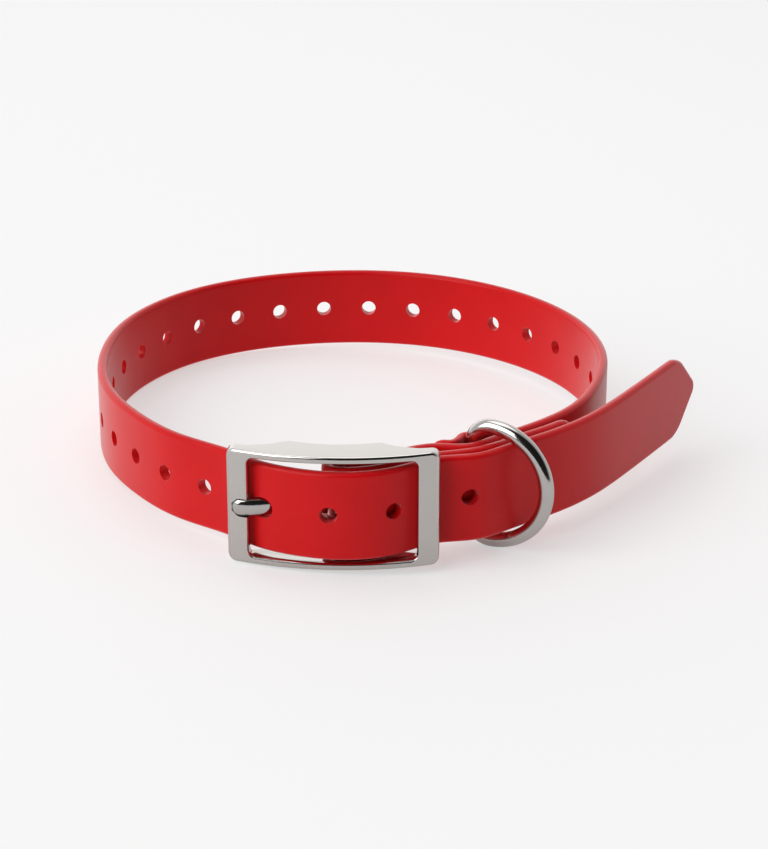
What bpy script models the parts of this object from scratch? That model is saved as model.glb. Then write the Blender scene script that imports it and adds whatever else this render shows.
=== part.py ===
"""Dog collar: a holed flat strap through a curved bar buckle, with a D-ring held in its inner end.

Metres, +Z up. The collar is modelled with the strap's lower edge level, the buckle's middle at
X = 0 and the buckle facing -Y, and is then settled on the floor as it stands by itself.
"""
import math

import bmesh
import bpy
import numpy as np
from mathutils import Matrix, Vector

# Strap
STRAP_WIDTH = 0.025
STRAP_THICKNESS = 0.003
STRAP_EDGE_ROUND = 0.0009
TIP_LENGTH = 0.012
TIP_NOSE = 0.003
TIP_ROUND = 0.004
TAIL_CORNER = 0.006
TAIL_LENGTH = 0.080
HOLE_DIAMETER = 0.0046
HOLE_PITCH = 0.01506
HOLE_ROOM = 0.004
FRONT_HOLE_RISE = 0.0006
PRONG_HOLE_DIAMETER = 0.0058
PRONG_HOLE_STRETCH = 0.0010
STRAP_FACET = 0.009
PATCH_FACET = 0.006

# Loop of the strap's middle line
LOOP_WIDTH = 0.1476
LOOP_DEPTH = 0.173

# Buckle
BUCKLE_WIDTH = 0.0566
BUCKLE_HEIGHT = 0.0325
BUCKLE_RISE = 0.0003
BUCKLE_FACE_RADIUS = 0.0743
BUCKLE_CORNER = 0.0022
SIDE_BAR_WIDTH = 0.0059
SIDE_BAR_DEPTH = 0.0032
RAIL_HEIGHT = 0.0022
RAIL_RELIEF = 0.0002
EAR_DEPTH = 0.0108
WINDOW_CORNER = 0.0016
CENTRE_BAR_DIAMETER = 0.0032
CENTRE_BAR_OFFSET = 0.0018
CENTRE_BAR_SOCKET = 0.0013

# Prong
PRONG_WIDTH = 0.0046
PRONG_DEPTH = 0.0020
PRONG_EYE_WALL = 0.0016

# D-ring
RING_WIRE = 0.0042
RING_ROOM = 0.0019
RING_CORNER = 0.0058
RING_SWING = math.radians(24.0)
RING_PLACE = 0.0408
RING_DROP = 0.0001

# Patch and posts that hold the ring
PATCH_THICKNESS = 0.002
PATCH_LENGTH = 0.030
POST_SPACING = 0.0232
POST_DIAMETER = 0.0026
POST_HEAD_DIAMETER = 0.0042
POST_HEAD_THICKNESS = 0.0009

# Fits
CLEARANCE = 0.0003
LAYER_GAP = 0.0004
PRONG_SLOT_ROOM = 0.0006

# The loop's middle line as shares: across from the buckle's middle by the loop's width, and back
# from the front by its depth, going round from the right front to the left front
LOOP_POINTS = (
    ("right front", 0.432, 0.268),
    ("right front quarter", 0.484, 0.393),
    ("right middle", 0.501, 0.512),
    ("right back quarter", 0.485, 0.627),
    ("right shoulder", 0.437, 0.735),
    ("right back", 0.358, 0.830),
    ("back right quarter", 0.253, 0.905),
    ("back, right of the middle", 0.130, 0.953),
    ("back middle", -0.004, 0.969),
    ("back, left of the middle", -0.138, 0.954),
    ("back left quarter", -0.263, 0.912),
    ("left back", -0.371, 0.842),
    ("left shoulder", -0.449, 0.747),
    ("left back quarter", -0.493, 0.639),
    ("left middle", -0.505, 0.524),
    ("left front quarter", -0.492, 0.409),
    ("left front", -0.452, 0.298),
    ("left corner", -0.384, 0.199),
    ("left of the buckle", -0.294, 0.113),
)

# The free end past the buckle as shares of the loop's width and depth, middle line
FREE_END_POINTS = (
    ("before the ring", 0.257, 0.056),
    ("at the ring", 0.311, 0.093),
    ("past the ring", 0.392, 0.157),
    ("right corner", 0.466, 0.230),
    ("right side", 0.531, 0.322),
    ("near the tip", 0.600, 0.433),
    ("tip", 0.685, 0.574),
)

# Room between the folded tail and the strap's inner end: the place along the tail as a share of
# its length, and the room as a share of the centre bar's diameter with its clearances
TAIL_ROOM = (
    ("behind the side bar", 0.25, 0.90),
    ("at the first post", 0.385, 0.68),
    ("at the ring", 0.51, 0.18),
    ("past the ring", 0.63, 0.10),
    ("towards the end", 0.77, 0.20),
)

# Holes at the front, in hole pitches along the strap from the centre bar, plus to the right
FRONT_HOLES = (
    ("window hole", -0.16),
    ("hole at the right side bar", 0.97),
    ("hole before the ring", 2.52),
)

# Depth of the buckle's rails behind its face: the place as a share of half the buckle's width,
# and the depth as a share of the ears' depth
RAIL_PROFILE = (
    ("end", 1.00, 0.36),
    ("side bar", 0.80, 0.44),
    ("foot of the ear", 0.58, 0.72),
    ("ear", 0.44, 1.00),
    ("beside the bar", 0.22, 0.93),
    ("centre bar", 0.00, 0.90),
)

# The prong's middle line behind the strap: the place from the centre bar to the tip as a share,
# and the distance in front of the centre bar as a share of the prong's reach towards the face
PRONG_POINTS = (
    ("eye", 0.10, 0.00),
    ("behind the strap", 0.27, -0.10),
    ("before the hole", 0.45, -0.02),
    ("into the hole", 0.60, 0.30),
    ("out of the hole", 0.735, 0.75),
    ("on the side bar", 0.86, 1.00),
    ("tip", 1.00, 0.82),
)

RED = (0.62, 0.012, 0.018, 1.0)
NICKEL = (0.62, 0.60, 0.56, 1.0)
CHROME = (0.80, 0.80, 0.80, 1.0)


# Derived sizes
HALF_THICKNESS = STRAP_THICKNESS / 2
BAR_RADIUS = CENTRE_BAR_DIAMETER / 2
FOLD_RADIUS = BAR_RADIUS + CLEARANCE + HALF_THICKNESS
FOLD_ROOM = 2 * (BAR_RADIUS + CLEARANCE)
MIDDLE_HEIGHT = STRAP_WIDTH / 2
BUCKLE_MIDDLE = MIDDLE_HEIGHT + BUCKLE_RISE
WINDOW_WIDTH = BUCKLE_WIDTH - 2 * SIDE_BAR_WIDTH
WINDOW_HEIGHT = BUCKLE_HEIGHT - 2 * RAIL_HEIGHT
FACE_RISE = BUCKLE_FACE_RADIUS - math.sqrt(BUCKLE_FACE_RADIUS ** 2 - (BUCKLE_WIDTH / 2) ** 2)
WINDOW_EDGE = WINDOW_WIDTH / 2
PRONG_BORE = BAR_RADIUS + CLEARANCE
PRONG_EYE = PRONG_BORE + PRONG_EYE_WALL
RING_WIRE_RADIUS = RING_WIRE / 2
RING_HALF_HEIGHT = STRAP_WIDTH / 2 + RING_ROOM + RING_WIRE_RADIUS


def face_y(x):
    """Height of the buckle's curved face, whose ends lie at Y = 0."""
    return BUCKLE_FACE_RADIUS - math.sqrt(BUCKLE_FACE_RADIUS ** 2 - x ** 2) - FACE_RISE


CROWN_Y = face_y(CENTRE_BAR_OFFSET) - STRAP_THICKNESS * 0.45 + HALF_THICKNESS
BAR_Y = CROWN_Y + HALF_THICKNESS + LAYER_GAP + STRAP_THICKNESS + CLEARANCE + BAR_RADIUS
SIDE_BAR_BACK = face_y(WINDOW_EDGE) + SIDE_BAR_DEPTH
UNDER_BAR = SIDE_BAR_BACK + CLEARANCE + STRAP_THICKNESS * 0.72


class Route:
    """A smooth plan curve through points, read by its length."""

    def __init__(self, points, fine=0.0002):
        points = np.array(points, dtype=float)
        chord = np.concatenate([[0.0], np.cumsum(np.hypot(*np.diff(points, axis=0).T))])
        steps = np.linspace(0.0, chord[-1], int(chord[-1] / fine))
        self.line = np.column_stack([self.spline(chord, points[:, i], steps) for i in (0, 1)])
        walked = np.hypot(*np.diff(self.line, axis=0).T)
        self.along = np.concatenate([[0.0], np.cumsum(walked)])
        self.length = self.along[-1]
        tangent = np.gradient(self.line, self.along, axis=0)
        self.tangent = tangent / np.hypot(*tangent.T)[:, None]
        self.heading = np.unwrap(np.arctan2(self.tangent[:, 1], self.tangent[:, 0]))

    @staticmethod
    def spline(knots, values, where):
        """Natural cubic spline through values at knots."""
        count = len(knots)
        gap = np.diff(knots)
        slope = np.diff(values) / gap
        system = np.eye(count)
        right = np.zeros(count)
        for i in range(1, count - 1):
            system[i, i - 1:i + 2] = gap[i - 1], 2 * (gap[i - 1] + gap[i]), gap[i]
            right[i] = 6 * (slope[i] - slope[i - 1])
        bend = np.linalg.solve(system, right)
        i = np.clip(np.searchsorted(knots, where) - 1, 0, count - 2)
        t = where - knots[i]
        first = slope[i] - gap[i] * (2 * bend[i] + bend[i + 1]) / 6
        return values[i] + t * first + t ** 2 * bend[i] / 2 + t ** 3 * (bend[i + 1] - bend[i]) / (6 * gap[i])

    def read(self, table, s):
        return np.array([np.interp(s, self.along, table[:, i]) for i in (0, 1)])

    def point(self, s):
        return self.read(self.line, s)

    def normal(self, s):
        """Unit normal on the right of the way the route runs."""
        tangent = self.read(self.tangent, s)
        tangent = tangent / np.hypot(*tangent)
        return np.array([tangent[1], -tangent[0]])

    def offset(self, s, distance):
        return self.point(s) + self.normal(s) * distance

    def nearest(self, target, start=0.0, end=None):
        """Length along the route of its point nearest to target, between start and end."""
        distance = np.hypot(*(self.line - np.array(target)).T)
        end = self.length if end is None else end
        distance = np.where((self.along < start) | (self.along > end), np.inf, distance)
        return self.along[int(np.argmin(distance))]

    def stations(self, turn, stride):
        """Lengths at which the strap is creased: at most turn of bend and stride apart."""
        measure = np.maximum(np.abs(np.gradient(self.heading, self.along)) / turn, 1 / stride)
        total = np.concatenate([[0.0], np.cumsum((measure[1:] + measure[:-1]) / 2 * np.diff(self.along))])
        count = int(math.ceil(total[-1]))
        return np.interp(np.linspace(0, total[-1], count + 1), total, self.along)


def free_end_points():
    """The strap's outer layer, from the left side bar over the centre bar to the tip."""
    half_bar = SIDE_BAR_WIDTH / 2
    outer_edge = face_y(WINDOW_EDGE + half_bar) - face_y(WINDOW_EDGE)
    bar_x = WINDOW_EDGE + half_bar
    under = UNDER_BAR + outer_edge + STRAP_THICKNESS * 0.42
    shoulder = CROWN_Y + (UNDER_BAR - CROWN_Y) * 0.28
    points = [(-bar_x, under + STRAP_THICKNESS * 0.18)]
    points.append((-WINDOW_EDGE, UNDER_BAR))
    points.append((-WINDOW_EDGE * 0.49, shoulder))
    points.append((CENTRE_BAR_OFFSET, CROWN_Y))
    points.append((WINDOW_EDGE * 0.60, shoulder))
    points.append((WINDOW_EDGE, UNDER_BAR))
    points.append((bar_x, under))
    points += [(LOOP_WIDTH * across, LOOP_DEPTH * back) for _, across, back in FREE_END_POINTS]
    return points


OUTER = Route(free_end_points())
CROWN = OUTER.nearest((CENTRE_BAR_OFFSET, CROWN_Y))
TAIL_STEP = STRAP_THICKNESS + LAYER_GAP


def tail_point(share):
    """Middle line of the folded tail, which lies against the outer layer's back."""
    return OUTER.offset(CROWN + TAIL_LENGTH * share, -TAIL_STEP)


def inner_end_points():
    """Middle line of the strap's inner end, behind the tail."""
    points = []
    for _, share, room in TAIL_ROOM:
        behind = TAIL_STEP + STRAP_THICKNESS + max(FOLD_ROOM * room, CLEARANCE)
        points.append(OUTER.offset(CROWN + TAIL_LENGTH * share, -behind))
    return points


def fold_points():
    """Half turn of the strap round the centre bar, front to back by the left."""
    angles = [math.radians(a) for a in range(270, 89, -30)]
    centre = (CENTRE_BAR_OFFSET, BAR_Y)
    return [(centre[0] + FOLD_RADIUS * math.cos(a), centre[1] + FOLD_RADIUS * math.sin(a)) for a in angles]


def strap_route():
    """From the tail's end round the centre bar, round the neck and out to the tip."""
    points = [tuple(tail_point(share)) for share in (1.0, 0.86, 0.72, 0.58, 0.44, 0.32, 0.22, 0.13)]
    points += fold_points()
    points += [tuple(p) for p in inner_end_points()]
    points += [(LOOP_WIDTH * across, LOOP_DEPTH * back) for _, across, back in LOOP_POINTS]
    points += free_end_points()
    return Route(points)


STRAP = strap_route()
BACK_MIDDLE = STRAP.nearest((0.0, LOOP_DEPTH * 0.97), STRAP.length * 0.3, STRAP.length * 0.7)
CROWN_STATION = STRAP.nearest((CENTRE_BAR_OFFSET, CROWN_Y), STRAP.length * 0.6)
INNER_START = STRAP.nearest((CENTRE_BAR_OFFSET, BAR_Y + FOLD_RADIUS), 0.0, STRAP.length * 0.3)
FOLD_START = STRAP.nearest((CENTRE_BAR_OFFSET, BAR_Y - FOLD_RADIUS), 0.0, STRAP.length * 0.3)
RING_STATION = INNER_START + RING_PLACE
RING_FROM_STRAP = HALF_THICKNESS + CLEARANCE + RING_WIRE_RADIUS
RING_CENTRE = STRAP.offset(RING_STATION, -RING_FROM_STRAP)


def new_material(name, colour, metallic, roughness):
    material = bpy.data.materials.new(name)
    material.use_nodes = True
    shader = material.node_tree.nodes["Principled BSDF"]
    shader.inputs["Base Color"].default_value = colour
    shader.inputs["Metallic"].default_value = metallic
    shader.inputs["Roughness"].default_value = roughness
    material.diffuse_color = colour
    return material


def new_collection(name):
    collection = bpy.data.collections.new(name)
    bpy.context.scene.collection.children.link(collection)
    return collection


def cutters():
    """The collection of the shapes that only cut or join other pieces."""
    return bpy.data.collections["cutters"]


def keep(obj, name, collection, material=None):
    """Name an object, move it to its collection and give it its material."""
    obj.name = name
    obj.data.name = name
    for other in list(obj.users_collection):
        other.objects.unlink(obj)
    collection.objects.link(obj)
    if material is not None:
        obj.data.materials.clear()
        obj.data.materials.append(material)
    return obj


def from_bmesh(bm, name, collection, material=None):
    mesh = bpy.data.meshes.new(name)
    bmesh.ops.recalc_face_normals(bm, faces=bm.faces)
    bm.to_mesh(mesh)
    bm.free()
    return keep(bpy.data.objects.new(name, mesh), name, collection, material)


def cutter(obj):
    """Mark an object as a cutter, which only shapes other pieces."""
    obj.hide_render = True
    obj.display_type = "WIRE"
    return keep(obj, obj.name, cutters())


def cut(obj, tool, operation="DIFFERENCE"):
    modifier = obj.modifiers.new(operation.title(), "BOOLEAN")
    modifier.operation = operation
    modifier.solver = "EXACT"
    modifier.object = tool
    return modifier


def frozen(obj):
    """The object's evaluated mesh as a new mesh, with its doubles merged."""
    bpy.context.view_layer.update()
    evaluated = obj.evaluated_get(bpy.context.evaluated_depsgraph_get())
    mesh = bpy.data.meshes.new_from_object(evaluated)
    bm = bmesh.new()
    bm.from_mesh(mesh)
    bmesh.ops.remove_doubles(bm, verts=bm.verts, dist=1e-7)
    bmesh.ops.recalc_face_normals(bm, faces=bm.faces)
    bm.to_mesh(mesh)
    bm.free()
    return mesh


def blank_cylinder(name, s, radius, low, high, lean=0.0, stretch=0.0, across=0.0, sides=16):
    """A cutter across a flat blank: low and high are depths through it, lean tilts it along it."""
    bm = bmesh.new()
    bmesh.ops.create_cone(bm, cap_ends=True, segments=sides, radius1=radius, radius2=radius,
                          depth=high - low, matrix=Matrix.Rotation(math.pi / sides, 4, "Z"))
    middle = (low + high) / 2
    for vert in bm.verts:
        vert.co.x += math.copysign(stretch / 2, vert.co.x)
        depth = vert.co.z + middle
        vert.co = (s + vert.co.x + math.tan(lean) * depth, across + vert.co.y, depth)
    return from_bmesh(bm, name, cutters())


def join(objects, name, collection):
    """One cutter from several that stand clear of each other."""
    bm = bmesh.new()
    for obj in objects:
        bm.from_mesh(obj.data)
        bpy.data.objects.remove(obj)
    return from_bmesh(bm, name, collection)


def flat_blank(length, width, thickness, ends):
    """A flat strip along X, Y across, Z through it, with shaped ends."""
    bm = bmesh.new()
    outline = [bm.verts.new((x, y, -thickness / 2)) for x, y in ends(length, width)]
    face = bm.faces.new(outline)
    grown = bmesh.ops.extrude_face_region(bm, geom=[face])
    top = [v for v in grown["geom"] if isinstance(v, bmesh.types.BMVert)]
    bmesh.ops.translate(bm, verts=top, vec=(0, 0, thickness))
    bmesh.ops.recalc_face_normals(bm, faces=bm.faces)
    return bm


def round_uprights(bm, groups):
    """Round the upright edges at given places: each place is a point, a size and its steps."""
    for x, y, size, steps in groups:
        edges = []
        for edge in bm.edges:
            a, b = edge.verts[0].co, edge.verts[1].co
            upright = abs(a.x - b.x) < 1e-7 and abs(a.y - b.y) < 1e-7
            if upright and abs(a.x - x) < 1e-6 and abs(a.y - y) < 1e-6:
                edges.append(edge)
        bmesh.ops.bevel(bm, geom=edges, offset=size, segments=steps, profile=0.5, affect="EDGES", material=-1)


def round_rims(bm, thickness, size, steps):
    """Round the edges between a blank's two faces and its sides."""
    half = thickness / 2 - 1e-7
    rims = [e for e in bm.edges if all(abs(v.co.z) > half for v in e.verts)
            and e.verts[0].co.z * e.verts[1].co.z > 0 and e.calc_face_angle(0) > 1.0]
    bmesh.ops.bevel(bm, geom=rims, offset=size, segments=steps, profile=0.5, affect="EDGES",
                    material=-1, clamp_overlap=True)


def lay(mesh, route, stations, height):
    """Crease a flat blank at the stations and lay it along the route, standing on its edge."""
    bm = bmesh.new()
    bm.from_mesh(mesh)
    for s in stations[1:-1]:
        geometry = bm.verts[:] + bm.edges[:] + bm.faces[:]
        bmesh.ops.bisect_plane(bm, geom=geometry, dist=1e-7, plane_co=(s, 0, 0), plane_no=(1, 0, 0))
    points = np.array([route.point(s) for s in stations])
    normals = np.array([route.normal(s) for s in stations])
    for vert in bm.verts:
        s = min(max(vert.co.x, stations[0]), stations[-1])
        here = [np.interp(s, stations, points[:, i]) for i in (0, 1)]
        normal = [np.interp(s, stations, normals[:, i]) for i in (0, 1)]
        over = vert.co.x - s
        plan = [here[i] + normal[i] * vert.co.z for i in (0, 1)]
        vert.co = (plan[0] + over * -normal[1], plan[1] + over * normal[0], height + vert.co.y)
    bmesh.ops.remove_doubles(bm, verts=bm.verts, dist=1e-6)
    return bm


def strap_outline(length, width):
    half = width / 2
    nose = TIP_NOSE / 2
    return [(0, -half), (length - TIP_LENGTH, -half), (length, -nose), (length, nose),
            (length - TIP_LENGTH, half), (0, half)]


def post_places():
    """For each post: its plan point on the inner end, its outward direction and its stations."""
    places = []
    for side in (-1, 1):
        on_inner = RING_STATION + side * POST_SPACING / 2
        origin = STRAP.point(on_inner)
        outward = STRAP.normal(on_inner)
        reach = STRAP_THICKNESS + FOLD_ROOM
        tries = [STRAP.nearest(origin + outward * reach * k / 60, 0.0, FOLD_START) for k in range(61)]
        misses = [np.hypot(*(STRAP.point(s) - origin - outward * reach * k / 60))
                  for k, s in enumerate(tries)]
        best = int(np.argmin(misses))
        places.append((side, origin, outward, on_inner, tries[best], reach * best / 60))
    return places


def loop_holes():
    """Stations of the row of holes, from the ring's patch round the back to the left side bar."""
    room = HOLE_DIAMETER / 2 + HOLE_ROOM
    first = RING_STATION + PATCH_LENGTH / 2 + room
    last = PRONG_HOLE - SIDE_BAR_WIDTH - 2 * room
    before = int((BACK_MIDDLE - first) / HOLE_PITCH)
    after = int((last - BACK_MIDDLE) / HOLE_PITCH)
    return [BACK_MIDDLE + k * HOLE_PITCH for k in range(-before, after + 1)]


def make_strap(collection, material):
    """The strap: a flat blank with its holes, creased and laid along its route."""
    length = STRAP.length
    bm = flat_blank(length, STRAP_WIDTH, STRAP_THICKNESS, strap_outline)
    half = STRAP_WIDTH / 2
    corners = [(0, -half, TAIL_CORNER, 3), (0, half, TAIL_CORNER, 3)]
    corners += [(length - TIP_LENGTH, y, TIP_ROUND, 3) for y in (-half, half)]
    corners += [(length, y, TIP_NOSE * 0.45, 2) for y in (-TIP_NOSE / 2, TIP_NOSE / 2)]
    round_uprights(bm, corners)
    round_rims(bm, STRAP_THICKNESS, STRAP_EDGE_ROUND, 2)
    blank = from_bmesh(bm, "strap_blank", cutters())
    through = STRAP_THICKNESS
    radius = HOLE_DIAMETER / 2
    tools = [blank_cylinder("hole", s, radius, -through, through) for s in loop_holes()]
    for _, place in FRONT_HOLES:
        s = CROWN_STATION + HOLE_PITCH * place
        tools.append(blank_cylinder("front_hole", s, radius, -through, through, across=FRONT_HOLE_RISE))
    tools.append(blank_cylinder("prong_hole", PRONG_HOLE + PRONG_HOLE_STRETCH / 2, PRONG_HOLE_DIAMETER / 2,
                                -through, through, lean=PRONG_LEAN, stretch=PRONG_HOLE_STRETCH))
    slot_half = PRONG_WIDTH / 2 + PRONG_SLOT_ROOM
    slot_middle = (FOLD_START + INNER_START) / 2
    slot_length = INNER_START - FOLD_START + 2 * (PRONG_EYE + PRONG_SLOT_ROOM + CLEARANCE - slot_half)
    tools.append(blank_cylinder("prong_slot", slot_middle, slot_half, -through, through, stretch=slot_length))
    room = POST_DIAMETER / 2 + CLEARANCE
    sink = POST_HEAD_THICKNESS + CLEARANCE
    places = post_places()
    for _, _, _, on_inner, _, _ in places:
        tools.append(blank_cylinder("post_hole", on_inner, room, -through, through))
    on_tail = places[-1][4]
    tools.append(blank_cylinder("tail_hole", on_tail, room, -through, through))
    head_room = blank_cylinder("post_head_room", on_tail, POST_HEAD_DIAMETER / 2 + CLEARANCE, -through,
                               sink - HALF_THICKNESS)
    cut(blank, cutter(join(tools, "strap_holes", cutters())))
    cut(blank, cutter(head_room))
    mesh = frozen(blank)
    bpy.data.objects.remove(blank)
    laid = lay(mesh, STRAP, STRAP.stations(math.radians(6.5), STRAP_FACET), MIDDLE_HEIGHT)
    return from_bmesh(laid, "strap", collection, material)


def patch_route():
    """The patch lies on the inner end's inner face and bulges over the ring's straight side."""
    under = -(HALF_THICKNESS + CLEARANCE + PATCH_THICKNESS / 2)
    over = RING_WIRE_RADIUS + CLEARANCE * 1.4 + PATCH_THICKNESS / 2
    half = PATCH_LENGTH / 2
    points = [STRAP.offset(RING_STATION - half * place, under) for place in (1.0, 0.82, 0.64)]
    inward = -STRAP.normal(RING_STATION)
    along = np.array([inward[1], -inward[0]])
    for degrees in (-42, 0, 42):
        angle = math.radians(degrees)
        points.append(RING_CENTRE + over * (inward * math.cos(angle) + along * math.sin(angle)))
    points += [STRAP.offset(RING_STATION + half * place, under) for place in (0.64, 0.82, 1.0)]
    return Route(points)


def patch_outline(length, width):
    half = width / 2
    return [(0, -half), (length, -half), (length, half), (0, half)]


def make_patch(collection, material):
    route = patch_route()
    length = route.length
    half = STRAP_WIDTH / 2
    bm = flat_blank(length, STRAP_WIDTH, PATCH_THICKNESS, patch_outline)
    round_uprights(bm, [(x, y, TAIL_CORNER * 0.7, 3) for x in (0, length) for y in (-half, half)])
    round_rims(bm, PATCH_THICKNESS, PATCH_THICKNESS * 0.35, 2)
    blank = from_bmesh(bm, "patch_blank", cutters())
    room = POST_DIAMETER / 2 + CLEARANCE
    tools = []
    for _, origin, outward, _, _, _ in post_places():
        inside = origin - outward * (HALF_THICKNESS + CLEARANCE + PATCH_THICKNESS / 2)
        tools.append(blank_cylinder("hole", route.nearest(inside), room, -PATCH_THICKNESS, PATCH_THICKNESS))
    cut(blank, cutter(join(tools, "patch_holes", cutters())))
    mesh = frozen(blank)
    bpy.data.objects.remove(blank)
    laid = lay(mesh, route, route.stations(math.radians(9), PATCH_FACET), MIDDLE_HEIGHT)
    return from_bmesh(laid, "ring_patch", collection, material)


def make_post(place, name, collection, material):
    """A plain post: a shank with a flat head at each end."""
    side, origin, outward, _, _, to_tail = place
    inner = -(HALF_THICKNESS + CLEARANCE + PATCH_THICKNESS + CLEARANCE)
    outer = to_tail + HALF_THICKNESS - CLEARANCE / 2
    if side < 0:
        outer = HALF_THICKNESS + CLEARANCE + POST_HEAD_THICKNESS
    profile = [(0.0, inner - POST_HEAD_THICKNESS), (POST_HEAD_DIAMETER / 2, inner - POST_HEAD_THICKNESS),
               (POST_HEAD_DIAMETER / 2, inner), (POST_DIAMETER / 2, inner),
               (POST_DIAMETER / 2, outer - POST_HEAD_THICKNESS),
               (POST_HEAD_DIAMETER / 2, outer - POST_HEAD_THICKNESS), (POST_HEAD_DIAMETER / 2, outer),
               (0.0, outer)]
    bm = bmesh.new()
    verts = [bm.verts.new((r, 0, z)) for r, z in profile]
    edges = [bm.edges.new(pair) for pair in zip(verts, verts[1:])]
    bmesh.ops.spin(bm, geom=verts + edges, cent=(0, 0, 0), axis=(0, 0, 1), angle=2 * math.pi,
                   steps=16, use_merge=True)
    bmesh.ops.remove_doubles(bm, verts=bm.verts, dist=1e-6)
    post = from_bmesh(bm, name, collection, material)
    direction = Vector((outward[0], outward[1], 0))
    post.rotation_euler = direction.to_track_quat("Z", "Y").to_euler()
    post.location = (origin[0], origin[1], MIDDLE_HEIGHT)
    return post


def rounded_prism(name, width, height, corner, low, high, steps=3):
    """A prism along Y with rounded corners, its outline across X and Z."""
    bm = bmesh.new()
    bmesh.ops.create_cube(bm, size=1.0)
    bmesh.ops.scale(bm, vec=(width, high - low, height), verts=bm.verts)
    bmesh.ops.translate(bm, vec=(0, (low + high) / 2, BUCKLE_MIDDLE), verts=bm.verts)
    along = [e for e in bm.edges if abs(e.verts[0].co.y - e.verts[1].co.y) > 1e-6]
    bmesh.ops.bevel(bm, geom=along, offset=corner, segments=steps, profile=0.5, affect="EDGES", material=-1)
    return from_bmesh(bm, name, cutters())


def strap_channel():
    """Room behind the side bars, within the window's height, through which the strap passes."""
    half = BUCKLE_WIDTH / 2
    across = [half * 1.1 * k / 14 for k in range(-14, 15)]
    plan = [(x, face_y(x) + SIDE_BAR_DEPTH) for x in across]
    plan += [(half * 1.1, BUCKLE_WIDTH), (-half * 1.1, BUCKLE_WIDTH)]
    bm = bmesh.new()
    height = WINDOW_HEIGHT + 2 * RAIL_RELIEF
    bottom = BUCKLE_MIDDLE - height / 2
    face = bm.faces.new([bm.verts.new((x, y, bottom)) for x, y in plan])
    grown = bmesh.ops.extrude_face_region(bm, geom=[face])
    top = [v for v in grown["geom"] if isinstance(v, bmesh.types.BMVert)]
    bmesh.ops.translate(bm, verts=top, vec=(0, 0, height))
    return from_bmesh(bm, "strap_channel", cutters())


def make_buckle(collection, material):
    """Curved frame: a plan outline raised to the buckle's height, its window and notch cut out."""
    half = BUCKLE_WIDTH / 2
    front = [half * k / 12 for k in range(-12, 13)]
    shares = [place for _, place, _ in RAIL_PROFILE][::-1]
    depths = [share for _, _, share in RAIL_PROFILE][::-1]
    steps = [half * (12 - k) / 12 for k in range(25)]
    plan = [(x, face_y(x)) for x in front]
    plan += [(x, face_y(x) + EAR_DEPTH * float(np.interp(abs(x) / half, shares, depths))) for x in steps]
    bm = bmesh.new()
    bottom = BUCKLE_MIDDLE - BUCKLE_HEIGHT / 2
    face = bm.faces.new([bm.verts.new((x, y, bottom)) for x, y in plan])
    grown = bmesh.ops.extrude_face_region(bm, geom=[face])
    top = [v for v in grown["geom"] if isinstance(v, bmesh.types.BMVert)]
    bmesh.ops.translate(bm, verts=top, vec=(0, 0, BUCKLE_HEIGHT))
    frame = from_bmesh(bm, "buckle_frame", collection, material)
    reach = BUCKLE_WIDTH
    outline = rounded_prism("buckle_outline", BUCKLE_WIDTH, BUCKLE_HEIGHT, BUCKLE_CORNER, -reach, reach)
    window = rounded_prism("buckle_window", WINDOW_WIDTH, WINDOW_HEIGHT, WINDOW_CORNER, -reach, reach)
    cut(frame, cutter(outline), "INTERSECT")
    cut(frame, cutter(window))
    cut(frame, cutter(strap_channel()))
    socket = WINDOW_HEIGHT + 2 * (CENTRE_BAR_SOCKET + CLEARANCE)
    cut(frame, cutter(upright_cylinder("bar_sockets", BAR_RADIUS + CLEARANCE, socket, 16)))
    cut(frame, cutter(prong_notch()))
    return frame


def prong_notch():
    """The prong's shape with room all round, drawn out to the front so that its notch is open."""
    width = PRONG_WIDTH + 2 * CLEARANCE
    notch = prong_shank("prong_notch", width, PRONG_DEPTH + 2 * CLEARANCE)
    walls = math.sin(math.radians(50))
    for vert in notch.data.vertices:
        nearest = np.hypot(*(PRONG_ROUTE.line - np.array(vert.co[:2])).T).argmin()
        if vert.co.y > PRONG_ROUTE.line[nearest][1] - CLEARANCE:
            continue
        vert.co.y -= BUCKLE_WIDTH / 4
        rise = vert.co.z - MIDDLE_HEIGHT
        if abs(rise) > width / 2 * walls:
            vert.co.z = MIDDLE_HEIGHT + math.copysign(width / 2, rise)
    return notch


def prong_line():
    """Middle line of the prong, from the centre bar to its tip on the left side bar."""
    tip_x = -(WINDOW_EDGE + SIDE_BAR_WIDTH * 0.74)
    rest_y = face_y(WINDOW_EDGE + SIDE_BAR_WIDTH * 0.4) + PRONG_DEPTH * 0.18
    run = CENTRE_BAR_OFFSET - tip_x
    rise = BAR_Y - rest_y
    return [(CENTRE_BAR_OFFSET - run * along, BAR_Y - rise * up) for _, along, up in PRONG_POINTS]


PRONG_ROUTE = Route(prong_line())


def prong_crossing():
    """Station of the strap where the prong passes through, and the prong's lean there."""
    front = STRAP.line[STRAP.along > CROWN_STATION - WINDOW_WIDTH]
    gaps = [np.hypot(*(front - p).T).min() for p in PRONG_ROUTE.line]
    place = int(np.argmin(gaps))
    station = STRAP.nearest(PRONG_ROUTE.line[place], CROWN_STATION - WINDOW_WIDTH)
    heading = PRONG_ROUTE.tangent[place]
    outward = STRAP.normal(station)
    along = np.array([-outward[1], outward[0]])
    return station, math.atan2(float(heading @ along), float(heading @ outward))


PRONG_HOLE, PRONG_LEAN = prong_crossing()


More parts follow.
